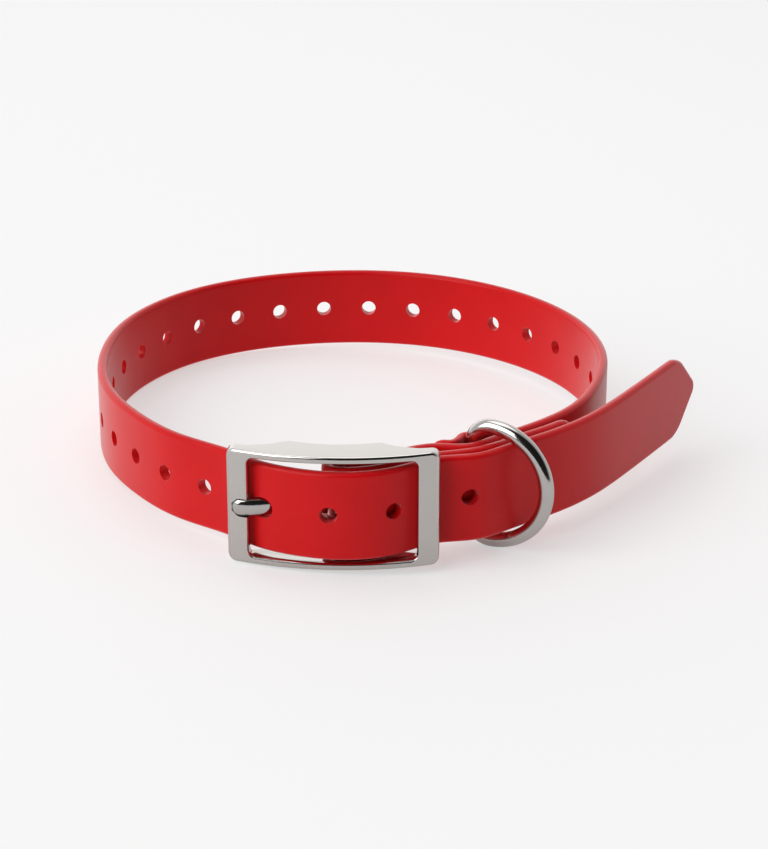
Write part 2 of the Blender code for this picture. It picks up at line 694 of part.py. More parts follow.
def prong_shank(name, width, depth):
    """An oval bar along the prong's middle line, rounded towards its tip."""
    profile = bpy.data.curves.new(name + "_profile", "CURVE")
    profile.dimensions = "2D"
    ring = profile.splines.new("POLY")
    ring.use_cyclic_u = True
    ring.points.add(11)
    for k, point in enumerate(ring.points):
        angle = 2 * math.pi * k / 12
        point.co = (depth / 2 * math.cos(angle), width / 2 * math.sin(angle), 0, 1)
    section = bpy.data.objects.new(name + "_profile", profile)
    cutters().objects.link(section)
    curve = bpy.data.curves.new(name, "CURVE")
    curve.dimensions = "3D"
    curve.twist_mode = "Z_UP"
    curve.bevel_mode = "OBJECT"
    curve.bevel_object = section
    curve.use_fill_caps = True
    line = curve.splines.new("POLY")
    stops = [PRONG_ROUTE.length * k / 18 for k in range(19)]
    spare = (width - PRONG_WIDTH) / 2
    line.points.add(len(stops) - 1)
    for point, s in zip(line.points, stops):
        x, y = PRONG_ROUTE.point(s)
        left = max(PRONG_ROUTE.length - s, 0.0) / (PRONG_WIDTH * 0.45)
        point.co = (x, y, MIDDLE_HEIGHT, 1)
        point.radius = math.sqrt(max(1 - max(1 - left, 0.0) ** 2, 0.16))
    if spare > 0.0:
        x, y = PRONG_ROUTE.point(PRONG_ROUTE.length)
        dx, dy = PRONG_ROUTE.read(PRONG_ROUTE.tangent, PRONG_ROUTE.length)
        line.points[-1].co = (x + dx * spare, y + dy * spare, MIDDLE_HEIGHT, 1)
    shape = bpy.data.objects.new(name, curve)
    cutters().objects.link(shape)
    mesh = frozen(shape)
    bpy.data.objects.remove(shape)
    bpy.data.objects.remove(section)
    solid = bpy.data.objects.new(name, mesh)
    cutters().objects.link(solid)
    return solid


def upright_cylinder(name, radius, height, sides, middle=BUCKLE_MIDDLE):
    """A cylinder on the centre bar's axis."""
    bm = bmesh.new()
    bmesh.ops.create_cone(bm, cap_ends=True, segments=sides, radius1=radius, radius2=radius, depth=height)
    bmesh.ops.translate(bm, vec=(CENTRE_BAR_OFFSET, BAR_Y, middle), verts=bm.verts)
    return from_bmesh(bm, name, cutters())


def make_centre_bar(collection, material):
    bar = upright_cylinder("centre_bar", BAR_RADIUS, WINDOW_HEIGHT + 2 * CENTRE_BAR_SOCKET, 20)
    return keep(bar, "centre_bar", collection, material)


def make_prong(collection, material):
    prong = keep(prong_shank("prong", PRONG_WIDTH, PRONG_DEPTH), "prong", collection, material)
    eye = upright_cylinder("prong_eye", PRONG_EYE, PRONG_WIDTH, 20, MIDDLE_HEIGHT)
    bore = upright_cylinder("prong_bore", PRONG_BORE, PRONG_WIDTH * 2, 16, MIDDLE_HEIGHT)
    cut(prong, cutter(eye), "UNION")
    cut(prong, cutter(bore))
    return prong


def make_ring(collection, material):
    """D-ring: a straight side, two round corners and a half-round bow, as one bent wire."""
    corner = RING_CORNER
    high = RING_HALF_HEIGHT
    points = []
    for k in range(5):
        angle = math.pi - math.pi / 2 * k / 4
        points.append((corner + corner * math.cos(angle), high - corner + corner * math.sin(angle)))
    for k in range(1, 24):
        angle = math.pi / 2 - math.pi * k / 24
        points.append((corner + high * math.cos(angle), high * math.sin(angle)))
    for k in range(5):
        angle = -math.pi / 2 - math.pi / 2 * k / 4
        points.append((corner + corner * math.cos(angle), -high + corner + corner * math.sin(angle)))
    curve = bpy.data.curves.new("d_ring", "CURVE")
    curve.dimensions = "3D"
    curve.bevel_depth = RING_WIRE_RADIUS
    curve.bevel_resolution = 3
    line = curve.splines.new("POLY")
    line.use_cyclic_u = True
    line.points.add(len(points) - 1)
    for point, (x, y) in zip(line.points, points):
        point.co = (x, y, 0, 1)
    ring = keep(bpy.data.objects.new("d_ring", curve), "d_ring", collection, material)
    ring.rotation_euler = (math.pi / 2, 0, -RING_SWING)
    ring.location = (RING_CENTRE[0], RING_CENTRE[1], MIDDLE_HEIGHT - RING_DROP)
    return ring


def world_points(obj):
    evaluated = obj.evaluated_get(bpy.context.evaluated_depsgraph_get())
    mesh = evaluated.to_mesh()
    points = [evaluated.matrix_world @ v.co for v in mesh.vertices]
    faces = [tuple(p.vertices) for p in mesh.polygons]
    evaluated.to_mesh_clear()
    return points, faces


def weigh(points, faces):
    """Volume and first moment of a closed mesh."""
    volume = 0.0
    moment = Vector((0, 0, 0))
    for face in faces:
        a = points[face[0]]
        for i in range(1, len(face) - 1):
            b, c = points[face[i]], points[face[i + 1]]
            part = a.dot(b.cross(c)) / 6
            volume += part
            moment += (a + b + c) * (part / 4)
    return volume, moment


def settle(root, pieces):
    """Turn and drop the collar onto the three points that it stands on by itself."""
    bpy.context.view_layer.update()
    cloud, mass, moment = [], 0.0, Vector((0, 0, 0))
    for obj, density in pieces:
        points, faces = world_points(obj)
        volume, first = weigh(points, faces)
        cloud += points
        mass += volume * density
        moment += first * density
    centre = moment / mass
    bm = bmesh.new()
    for point in cloud:
        bm.verts.new(point)
    hull = bmesh.ops.convex_hull(bm, input=bm.verts)
    bmesh.ops.delete(bm, geom=list({g for g in hull["geom_interior"] + hull["geom_unused"]}), context="VERTS")
    bm.normal_update()
    best = None
    for face in bm.faces:
        if face.normal.z > -0.9:
            continue
        foot = centre - face.normal * (centre - face.verts[0].co).dot(face.normal)
        corners = [v.co for v in face.verts]
        sides = [(b - a).cross(foot - a).dot(face.normal) for a, b in zip(corners, corners[1:] + corners[:1])]
        if min(sides) >= 0:
            best = face.normal.copy(), face.verts[0].co.copy()
    bm.free()
    if best is None:
        best = Vector((0, 0, -1)), Vector((0, 0, min(p.z for p in cloud)))
    down, foot = best
    turn = down.rotation_difference(Vector((0, 0, -1))).to_matrix().to_4x4()
    placed = [turn @ p for p in cloud]
    low = Vector([min(p[i] for p in placed) for i in range(3)])
    high = Vector([max(p[i] for p in placed) for i in range(3)])
    shift = Vector((-(low.x + high.x) / 2, -(low.y + high.y) / 2, -low.z))
    root.matrix_world = Matrix.Translation(shift) @ turn
    bpy.context.view_layer.update()


def main():
    for obj in list(bpy.data.objects):
        bpy.data.objects.remove(obj)
    collar = new_collection("dog_collar")
    new_collection("cutters")
    red = new_material("red_strap", RED, 0.0, 0.38)
    nickel = new_material("satin_nickel", NICKEL, 1.0, 0.32)
    chrome = new_material("polished_metal", CHROME, 1.0, 0.08)
    strap = make_strap(collar, red)
    patch = make_patch(collar, red)
    posts = [make_post(place, "post_" + ("left" if place[0] < 0 else "right"), collar, nickel)
             for place in post_places()]
    buckle = make_buckle(collar, nickel)
    bar = make_centre_bar(collar, nickel)
    prong = make_prong(collar, chrome)
    ring = make_ring(collar, chrome)
    root = bpy.data.objects.new("collar_frame", None)
    collar.objects.link(root)
    metal, plastic = 7800.0, 1150.0
    weights = [(strap, plastic), (patch, plastic), (buckle, metal), (bar, metal), (prong, metal)]
    weights += [(piece, metal) for piece in [ring] + posts]
    for obj in list(collar.objects) + list(cutters().objects):
        if obj is not root:
            obj.parent = root
    for obj, _ in weights:
        if obj.type == "MESH":
            obj.data.shade_smooth()
            obj.data.set_sharp_from_angle(angle=math.radians(35))
    settle(root, weights)


main()
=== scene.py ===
import logging
import math
from dataclasses import dataclass, field
from enum import Enum
from typing import ClassVar

import bmesh
import bpy
import numpy as np
from bmesh.types import BMEdge, BMesh, BMVert
from bpy.types import Material, Node, NodeSocket, NodeTree, Object
from mathutils import Matrix, Vector


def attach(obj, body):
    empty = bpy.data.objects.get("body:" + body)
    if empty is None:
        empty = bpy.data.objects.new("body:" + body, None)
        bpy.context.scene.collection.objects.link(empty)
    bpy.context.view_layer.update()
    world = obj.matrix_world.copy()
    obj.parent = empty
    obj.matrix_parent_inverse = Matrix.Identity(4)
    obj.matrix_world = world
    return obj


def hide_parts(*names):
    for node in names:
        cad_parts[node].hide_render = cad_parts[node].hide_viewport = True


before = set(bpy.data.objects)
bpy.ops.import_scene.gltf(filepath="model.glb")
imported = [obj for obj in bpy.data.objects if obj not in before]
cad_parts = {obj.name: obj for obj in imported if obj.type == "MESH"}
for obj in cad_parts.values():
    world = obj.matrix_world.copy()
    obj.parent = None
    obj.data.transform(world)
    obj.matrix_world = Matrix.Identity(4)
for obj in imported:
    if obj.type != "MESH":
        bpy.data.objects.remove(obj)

LOG = logging.getLogger("dog_collar")
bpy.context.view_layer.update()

Plan = tuple[tuple[float, float], ...]
Colour = tuple[float, float, float]
Place = tuple[float, float, float]

# Metres within which verts touch and are welded, least upright share and least angle of an
# edge, half the length of a drill, and steps of a round corner
TOUCH = 1e-6
WELD = 2e-6
UPRIGHT = 0.99
SQUARE = 0.6
DRILL_REACH = 0.004
ROUND_STEPS = 6


class Body(Enum):
    """The rigid bodies that pieces ride on."""

    COLLAR = "collar"
    RING = "ring"


class Slot(Enum):
    """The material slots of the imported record."""

    RED = "red_strap"
    NICKEL = "satin_nickel"
    CHROME = "polished_metal"


@dataclass(frozen=True)
class RestPose:
    """How the collar, modelled level on its edge, is turned to stand by itself."""

    rows: tuple[tuple[float, float, float, float], ...] = (
        (0.99905163, 0.0002797, -0.04353838, -0.01224216),
        (0.0002797, 0.99991751, 0.01284175, -0.08126328),
        (0.04353838, -0.01284175, 0.99896914, 0.00462596),
        (0.0, 0.0, 0.0, 1.0),
    )

    def matrix(self) -> Matrix:
        """The turn and shift as one matrix."""
        return Matrix(self.rows)


REST = RestPose()


@dataclass
class Route:
    """A smooth plan curve through points, read by its length.

    Attributes:
        points: plan points in metres that the curve passes through.
        step: spacing of the curve's own samples.
    """

    points: Plan
    step: float = 0.0002
    line: np.ndarray = field(init=False)
    along: np.ndarray = field(init=False)
    tangent: np.ndarray = field(init=False)
    heading: np.ndarray = field(init=False)

    def __post_init__(self) -> None:
        """Sample the curve and its direction."""
        points = np.array(self.points, dtype=float)
        chord = np.concatenate([[0.0], np.cumsum(np.hypot(*np.diff(points, axis=0).T))])
        where = np.linspace(0.0, chord[-1], int(chord[-1] / self.step))
        self.line = np.column_stack([self._spline(chord, points[:, i], where) for i in (0, 1)])
        walked = np.hypot(*np.diff(self.line, axis=0).T)
        self.along = np.concatenate([[0.0], np.cumsum(walked)])
        tangent = np.gradient(self.line, self.along, axis=0)
        self.tangent = tangent / np.hypot(*tangent.T)[:, None]
        self.heading = np.unwrap(np.arctan2(self.tangent[:, 1], self.tangent[:, 0]))

    @staticmethod
    def _spline(knots: np.ndarray, values: np.ndarray, where: np.ndarray) -> np.ndarray:
        """Natural cubic spline.

        Args:
            knots: increasing places at which the values are known.
            values: the values there.
            where: places at which to read the spline.

        Returns:
            The spline's values at those places.
        """
        count = len(knots)
        gap = np.diff(knots)
        slope = np.diff(values) / gap
        system = np.eye(count)
        right = np.zeros(count)
        for i in range(1, count - 1):
            system[i, i - 1:i + 2] = gap[i - 1], 2 * (gap[i - 1] + gap[i]), gap[i]
            right[i] = 6 * (slope[i] - slope[i - 1])
        bend = np.linalg.solve(system, right)
        i = np.clip(np.searchsorted(knots, where) - 1, 0, count - 2)
        t = where - knots[i]
        first = slope[i] - gap[i] * (2 * bend[i] + bend[i + 1]) / 6
        third = (bend[i + 1] - bend[i]) / (6 * gap[i])
        return values[i] + t * first + t ** 2 * bend[i] / 2 + t ** 3 * third

    @property
    def length(self) -> float:
        """Length of the whole curve."""
        return float(self.along[-1])

    def at(self, s: np.ndarray) -> tuple[np.ndarray, np.ndarray]:
        """Points of the curve and its unit normals, on the right of the way it runs.

        Args:
            s: lengths along the curve.

        Returns:
            Two arrays of plan vectors.
        """
        point, tangent = (np.column_stack([np.interp(s, self.along, table[:, i]) for i in (0, 1)])
                          for table in (self.line, self.tangent))
        tangent /= np.hypot(*tangent.T)[:, None]
        return point, np.column_stack([tangent[:, 1], -tangent[:, 0]])

    def stations(self, turn: float, stride: float) -> np.ndarray:
        """Lengths at which a flat blank is creased.

        Args:
            turn: most bend between two creases, in radians.
            stride: most length between them.

        Returns:
            The lengths, from one end of the curve to the other.
        """
        measure = np.abs(np.gradient(self.heading, self.along)) / turn
        measure = np.maximum(measure, 1 / stride)
        steps = (measure[1:] + measure[:-1]) / 2 * np.diff(self.along)
        total = np.concatenate([[0.0], np.cumsum(steps)])
        count = int(math.ceil(total[-1])) + 1
        return np.interp(np.linspace(0, total[-1], count), total, self.along)


class NodeSheet:
    """A small helper that lays out the nodes of one tree."""

    ROW = 9
    SPACING = (220, -190)

    def __init__(self, tree: NodeTree) -> None:
        """Start on a tree."""
        self.tree = tree

    @staticmethod
    def fill(node: Node, numbers: dict[str, object]) -> None:
        """Set a node's unlinked inputs by name.

        Args:
            node: the node.
            numbers: the values by the inputs' names.
        """
        for name, value in numbers.items():
            node.inputs[name].default_value = value

    def add(self, kind: str, label: str, numbers: dict[str, object] | None = None,
            **attributes: object) -> Node:
        """Add a node.

        Args:
            kind: the node's Blender type.
            label: a plain name for it.
            numbers: values of its unlinked inputs by name.
            attributes: attributes of the node to set.

        Returns:
            The node.
        """
        node = self.tree.nodes.new(kind)
        node.label = label
        for key, value in attributes.items():
            setattr(node, key, value)
        self.fill(node, numbers or {})
        row, column = divmod(len(self.tree.nodes), self.ROW)
        node.location = (self.SPACING[0] * column, self.SPACING[1] * row)
        return node

    def link(self, source: NodeSocket, target: NodeSocket) -> None:
        """Join an output to an input."""
        self.tree.links.new(source, target)

    def math(self, operation: str, *operands: object) -> NodeSocket:
        """A Math node on sockets or numbers.

        Args:
            operation: the Math node's operation.
            operands: a socket or a number for each input.

        Returns:
            The result's socket.
        """
        node = self.add("ShaderNodeMath", operation.lower(), operation=operation)
        for value, target in zip(operands, node.inputs):
            if isinstance(value, NodeSocket):
                self.link(value, target)
            else:
                target.default_value = value
        return node.outputs[0]

    def ramp(self, factor: NodeSocket, stops: Plan) -> NodeSocket:
        """A grey ramp.

        Args:
            factor: what the ramp reads.
            stops: places and grey values.

        Returns:
            The ramp's colour socket.
        """
        node = self.add("ShaderNodeValToRGB", "ramp")
        elements = node.color_ramp.elements
        while len(elements) < len(stops):
            elements.new(0.5)
        for element, (place, grey) in zip(elements, stops):
            element.position = place
            element.color = (grey, grey, grey, 1.0)
        self.link(factor, node.inputs["Fac"])
        return node.outputs["Color"]


class EffectGroups:
    """Surface effects that several finishes share, each built once as a node group."""

    SKIN: dict[str, float] = {"Detail": 3.0, "Roughness": 0.55}
    PATCHES: dict[str, float] = {"Detail": 2.0}
    BREAK_UP: dict[str, float] = {"Scale": 420.0, "Detail": 4.0}
    LONG_MARKS: dict[str, float] = {"Detail": 6.0, "Roughness": 0.7}
    MARK_RAMP: Plan = ((0.55, 0.0), (0.75, 1.0))
    FLAT_POINTINESS: float = 0.5

    def __init__(self) -> None:
        """Build the groups."""
        self.grain = self._grain()
        self.edge = self._edge()
        self.marks = self._marks()

    @staticmethod
    def _start(name: str, inputs: dict[str, float],
               outputs: tuple[str, ...]) -> tuple[NodeSheet, Node, Node]:
        """Start a group that reads a vector and some numbers.

        Args:
            name: the group's name.
            inputs: first values of the numbers that it reads, by name.
            outputs: names of its float outputs.

        Returns:
            The group's sheet, its input node and its output node.
        """
        tree = bpy.data.node_groups.new(name, "ShaderNodeTree")
        tree.interface.new_socket("Vector", in_out="INPUT", socket_type="NodeSocketVector")
        for label, value in inputs.items():
            socket = tree.interface.new_socket(label, in_out="INPUT", socket_type="NodeSocketFloat")
            socket.default_value = value
        for label in outputs:
            tree.interface.new_socket(label, in_out="OUTPUT", socket_type="NodeSocketFloat")
        sheet = NodeSheet(tree)
        return sheet, sheet.add("NodeGroupInput", "in"), sheet.add("NodeGroupOutput", "out")

    def _grain(self) -> NodeTree:
        """Fine skin of a moulded or blasted surface, with slow patches over it.

        Returns:
            The group.
        """
        sheet, into, out = self._start("fine_grain", {"Scale": 900.0, "Patch Scale": 60.0},
                                       ("Height", "Patches"))
        for label, numbers, scale, result in (("skin", self.SKIN, "Scale", "Height"),
                                              ("patches", self.PATCHES, "Patch Scale", "Patches")):
            noise = sheet.add("ShaderNodeTexNoise", label, numbers, noise_dimensions="3D")
            sheet.link(into.outputs["Vector"], noise.inputs["Vector"])
            sheet.link(into.outputs[scale], noise.inputs["Scale"])
            sheet.link(noise.outputs["Fac"], out.inputs[result])
        return sheet.tree

    def _edge(self) -> NodeTree:
        """Mask of the outer edges, where handling rubs first, broken up by a noise.

        Returns:
            The group.
        """
        sheet, into, out = self._start("edge_rub", {"Reach": 0.03, "Break": 0.35}, ("Mask",))
        shape = sheet.add("ShaderNodeNewGeometry", "shape")
        noise = sheet.add("ShaderNodeTexNoise", "break-up", self.BREAK_UP)
        sheet.link(into.outputs["Vector"], noise.inputs["Vector"])
        lifted = sheet.math("SUBTRACT", shape.outputs["Pointiness"], self.FLAT_POINTINESS)
        ratio = sheet.math("DIVIDE", lifted, into.outputs["Reach"])
        less = sheet.math("MULTIPLY", noise.outputs["Fac"], into.outputs["Break"])
        clamp = sheet.add("ShaderNodeClamp", "mask")
        sheet.link(sheet.math("SUBTRACT", ratio, less), clamp.inputs["Value"])
        sheet.link(clamp.outputs["Result"], out.inputs["Mask"])
        return sheet.tree

    def _marks(self) -> NodeTree:
        """Faint long marks from handling, drawn out along the surface's first direction.

        Returns:
            The group.
        """
        sheet, into, out = self._start("handling_marks", {"Scale": 60.0, "Draw Out": 0.05},
                                       ("Mask",))
        split = sheet.add("ShaderNodeSeparateXYZ", "split")
        joined = sheet.add("ShaderNodeCombineXYZ", "joined")
        sheet.link(into.outputs["Vector"], split.inputs[0])
        drawn = sheet.math("MULTIPLY", split.outputs["X"], into.outputs["Draw Out"])
        for source, axis in ((drawn, "X"), (split.outputs["Y"], "Y"), (split.outputs["Z"], "Z")):
            sheet.link(source, joined.inputs[axis])
        noise = sheet.add("ShaderNodeTexNoise", "marks", self.LONG_MARKS)
        sheet.link(joined.outputs["Vector"], noise.inputs["Vector"])
        sheet.link(into.outputs["Scale"], noise.inputs["Scale"])
        sheet.link(sheet.ramp(noise.outputs["Fac"], self.MARK_RAMP), out.inputs["Mask"])
        return sheet.tree


@dataclass(frozen=True)
class Finish:
    """What every finish shares: its slot, colour, gloss and fine relief.

    Attributes:
        slot: the record's slot that it stands for.
        colour: main colour, linear.
        shade: colour of the darker patches.
        roughness: lowest and highest roughness.
        metallic: 0 for the strap, 1 for the metal.
        grain: scale of the fine skin, per metre.
        relief: height of the skin in metres.
        marks: how much the handling marks change the roughness.
        rub: how much the rubbed edges change the roughness.
        shine: strength of the clear reflection of the strap.
        light_depth: weight of the light that travels inside.
        sheen: weight of the pale bloom at glancing angles.
        polish: roughness where a piece's "polish" attribute is one.
    """

    PATCH_SHARE: ClassVar[float] = 0.06
    MARK_SHARE: ClassVar[float] = 0.22
    EDGE_REACH: ClassVar[float] = 0.04
    PATCH_RAMP: ClassVar[Plan] = ((0.3, 0.0), (0.62, 1.0))
    LIGHT_SPREAD: ClassVar[Colour] = (1.0, 0.12, 0.1)
    LIGHT_REACH: ClassVar[float] = 0.0012
    BLOOM_ROUGHNESS: ClassVar[float] = 0.35

    slot: Slot
    colour: Colour
    shade: Colour
    roughness: tuple[float, float]
    metallic: float
    grain: float
    relief: float
    marks: float = 0.05
    rub: float = -0.06
    shine: float = 0.5
    light_depth: float = 0.0
    sheen: float = 0.0
    polish: float = 0.10

    def build(self, groups: EffectGroups) -> Material:
        """Make the material.

        Args:
            groups: the shared effects.

        Returns:
            The material.
        """
        material = bpy.data.materials.new(self.slot.value)
        material.use_nodes = True
        material.diffuse_color = (*self.colour, 1.0)
        sheet = NodeSheet(material.node_tree)
        shader = material.node_tree.nodes["Principled BSDF"]
        place = sheet.add("ShaderNodeTexCoord", "place").outputs["Object"]
        grain = self._effect(sheet, groups.grain, place,
                             {"Scale": self.grain, "Patch Scale": self.grain * self.PATCH_SHARE})
        marks = self._effect(sheet, groups.marks, place, {"Scale": self.grain * self.MARK_SHARE})
        edge = self._effect(sheet, groups.edge, place, {"Reach": self.EDGE_REACH})
        mix = sheet.add("ShaderNodeMix", "colour",
                        {"A": (*self.shade, 1.0), "B": (*self.colour, 1.0)}, data_type="RGBA")
        sheet.link(sheet.ramp(grain.outputs["Patches"], self.PATCH_RAMP), mix.inputs["Factor"])
        sheet.link(mix.outputs["Result"], shader.inputs["Base Color"])
        low, high = self.roughness
        rough = sheet.math("MULTIPLY_ADD", grain.outputs["Patches"], high - low, low)
        for effect, share in ((marks, self.marks), (edge, self.rub)):
            rough = sheet.math("ADD", rough, sheet.math("MULTIPLY", effect.outputs["Mask"], share))
        polished = sheet.add("ShaderNodeAttribute", "polished faces", attribute_name="polish")
        bright = polished.outputs["Fac"]
        gloss = sheet.add("ShaderNodeMix", "gloss", {"B": self.polish}, data_type="FLOAT")
        sheet.link(bright, gloss.inputs["Factor"])
        sheet.link(rough, gloss.inputs["A"])
        sheet.link(gloss.outputs["Result"], shader.inputs["Roughness"])
        bump = sheet.add("ShaderNodeBump", "skin", {"Distance": self.relief})
        sheet.link(sheet.math("SUBTRACT", 1.0, bright), bump.inputs["Strength"])
        sheet.link(grain.outputs["Height"], bump.inputs["Height"])
        sheet.link(bump.outputs["Normal"], shader.inputs["Normal"])
        sheet.fill(shader, {
            "Metallic": self.metallic,
            "Specular IOR Level": self.shine,
            "Subsurface Weight": self.light_depth,
            "Subsurface Radius": self.LIGHT_SPREAD,
            "Subsurface Scale": self.LIGHT_REACH,
            "Sheen Weight": self.sheen,
            "Sheen Roughness": self.BLOOM_ROUGHNESS,
        })
        return material

    @staticmethod
    def _effect(sheet: NodeSheet, group: NodeTree, place: NodeSocket,
                numbers: dict[str, float]) -> Node:
        """Place a shared effect in a material with its own values.

        Args:
            sheet: the material's nodes.
            group: the effect.
            place: coordinates that it reads.
            numbers: its values by name.

        Returns:
            The group's node.
        """
        node = sheet.add("ShaderNodeGroup", group.name, numbers, node_tree=group)
        sheet.link(place, node.inputs["Vector"])
        return node


RED_COAT = Finish(Slot.RED, colour=(0.640, 0.0050, 0.0075), shade=(0.608, 0.0044, 0.0066),
                  roughness=(0.29, 0.35), metallic=0.0, grain=1500.0, relief=0.000003,
                  marks=0.04, rub=-0.03, shine=0.16, light_depth=0.10, sheen=0.42)
SATIN_NICKEL = Finish(Slot.NICKEL, colour=(0.640, 0.615, 0.588), shade=(0.630, 0.605, 0.578),
                      roughness=(0.31, 0.34), metallic=1.0, grain=5200.0, relief=0.0000004,
                      marks=0.015, rub=-0.06)
POLISHED = Finish(Slot.CHROME, colour=(0.600, 0.580, 0.560), shade=(0.575, 0.555, 0.535),
                  roughness=(0.10, 0.14), metallic=1.0, grain=2500.0, relief=0.0000004,
                  marks=0.02, rub=-0.01)


def link_new(name: str, bm: BMesh) -> Object:
    """Turn a bmesh into a linked object.

    Args:
        name: the object's name.
        bm: its shape, which is freed.

    Returns:
        The object.
    """
    mesh = bpy.data.meshes.new(name)
    bm.to_mesh(mesh)
    bm.free()
    obj = bpy.data.objects.new(name, mesh)
    bpy.context.scene.collection.objects.link(obj)
    return obj


def round_edges(bm: BMesh, edges: list[BMEdge], radius: float, steps: int,
                clamp: bool = False) -> None:
    """Round edges of a shape.

    Args:
        bm: the shape.
        edges: the edges.
        radius: radius of the rounding.
        steps: its segments.
        clamp: whether neighbouring roundings keep clear of one another.
    """
    bmesh.ops.bevel(bm, geom=edges, offset=radius, segments=steps, profile=0.5, affect="EDGES",
                    material=-1, clamp_overlap=clamp)


def crease(bm: BMesh, places: list[float], reach: float = TOUCH) -> None:
    """Cut a shape across X at some places, so that it can bend there.

    Args:
        bm: the shape.
        places: where it is cut, along X.
        reach: distance within which a vert counts as lying on a cut.
    """
    for x in places:
        geometry = bm.verts[:] + bm.edges[:] + bm.faces[:]
        bmesh.ops.bisect_plane(bm, geom=geometry, dist=reach, plane_co=(x, 0, 0),
                               plane_no=(1, 0, 0))


def carve(obj: Object, cutters: list[Object], join: bool = False) -> None:
    """Cut shapes out of an object, or join them to it, and remove them.

    Args:
        obj: the object that is changed.
        cutters: the shapes.
        join: whether they are added instead.
    """
    for shape in cutters:
        modifier = obj.modifiers.new(shape.name, "BOOLEAN")
        modifier.operation = "UNION" if join else "DIFFERENCE"
        modifier.solver = "EXACT"
        modifier.object = shape
    bpy.context.view_layer.update()
    evaluated = obj.evaluated_get(bpy.context.evaluated_depsgraph_get())
    mesh = bpy.data.meshes.new_from_object(evaluated)
    obj.modifiers.clear()
    bm = bmesh.new()
    bm.from_mesh(mesh)
    bmesh.ops.remove_doubles(bm, verts=bm.verts, dist=WELD)
    bmesh.ops.dissolve_degenerate(bm, dist=TOUCH, edges=bm.edges)
    bm.to_mesh(mesh)
    bm.free()
    obj.data = mesh
    for shape in cutters:
        bpy.data.objects.remove(shape)


def finish_piece(obj: Object, material: Material, body: Body, nodes: tuple[str, ...],
                 weighted: bool = True, sharp: float = 0.0) -> Object:
    """Turn a piece to the rest pose, smooth it, dress it and let it ride on its body.

    Args:
        obj: the piece, in the collar's level frame.
        material: its finish.
        body: what it rides on.
        nodes: the solids that it stands for.
        weighted: whether broad faces keep their own shading.
        sharp: angle in degrees past which an edge stays crisp, or 0 for none.

    Returns:
        The piece.
    """
    obj.data.transform(REST.matrix())
    obj.data.materials.clear()
    obj.data.materials.append(material)
    obj.data.shade_smooth()
    if sharp:
        obj.data.set_sharp_from_angle(angle=math.radians(sharp))
    if weighted:
        modifier = obj.modifiers.new("broad_faces", "WEIGHTED_NORMAL")
        modifier.mode = "FACE_AREA"
        modifier.weight = 100
        modifier.keep_sharp = True
    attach(obj, body.value)
    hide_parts(*nodes)
    LOG.info("%s: %d faces", obj.name, len(obj.data.polygons))
    return obj


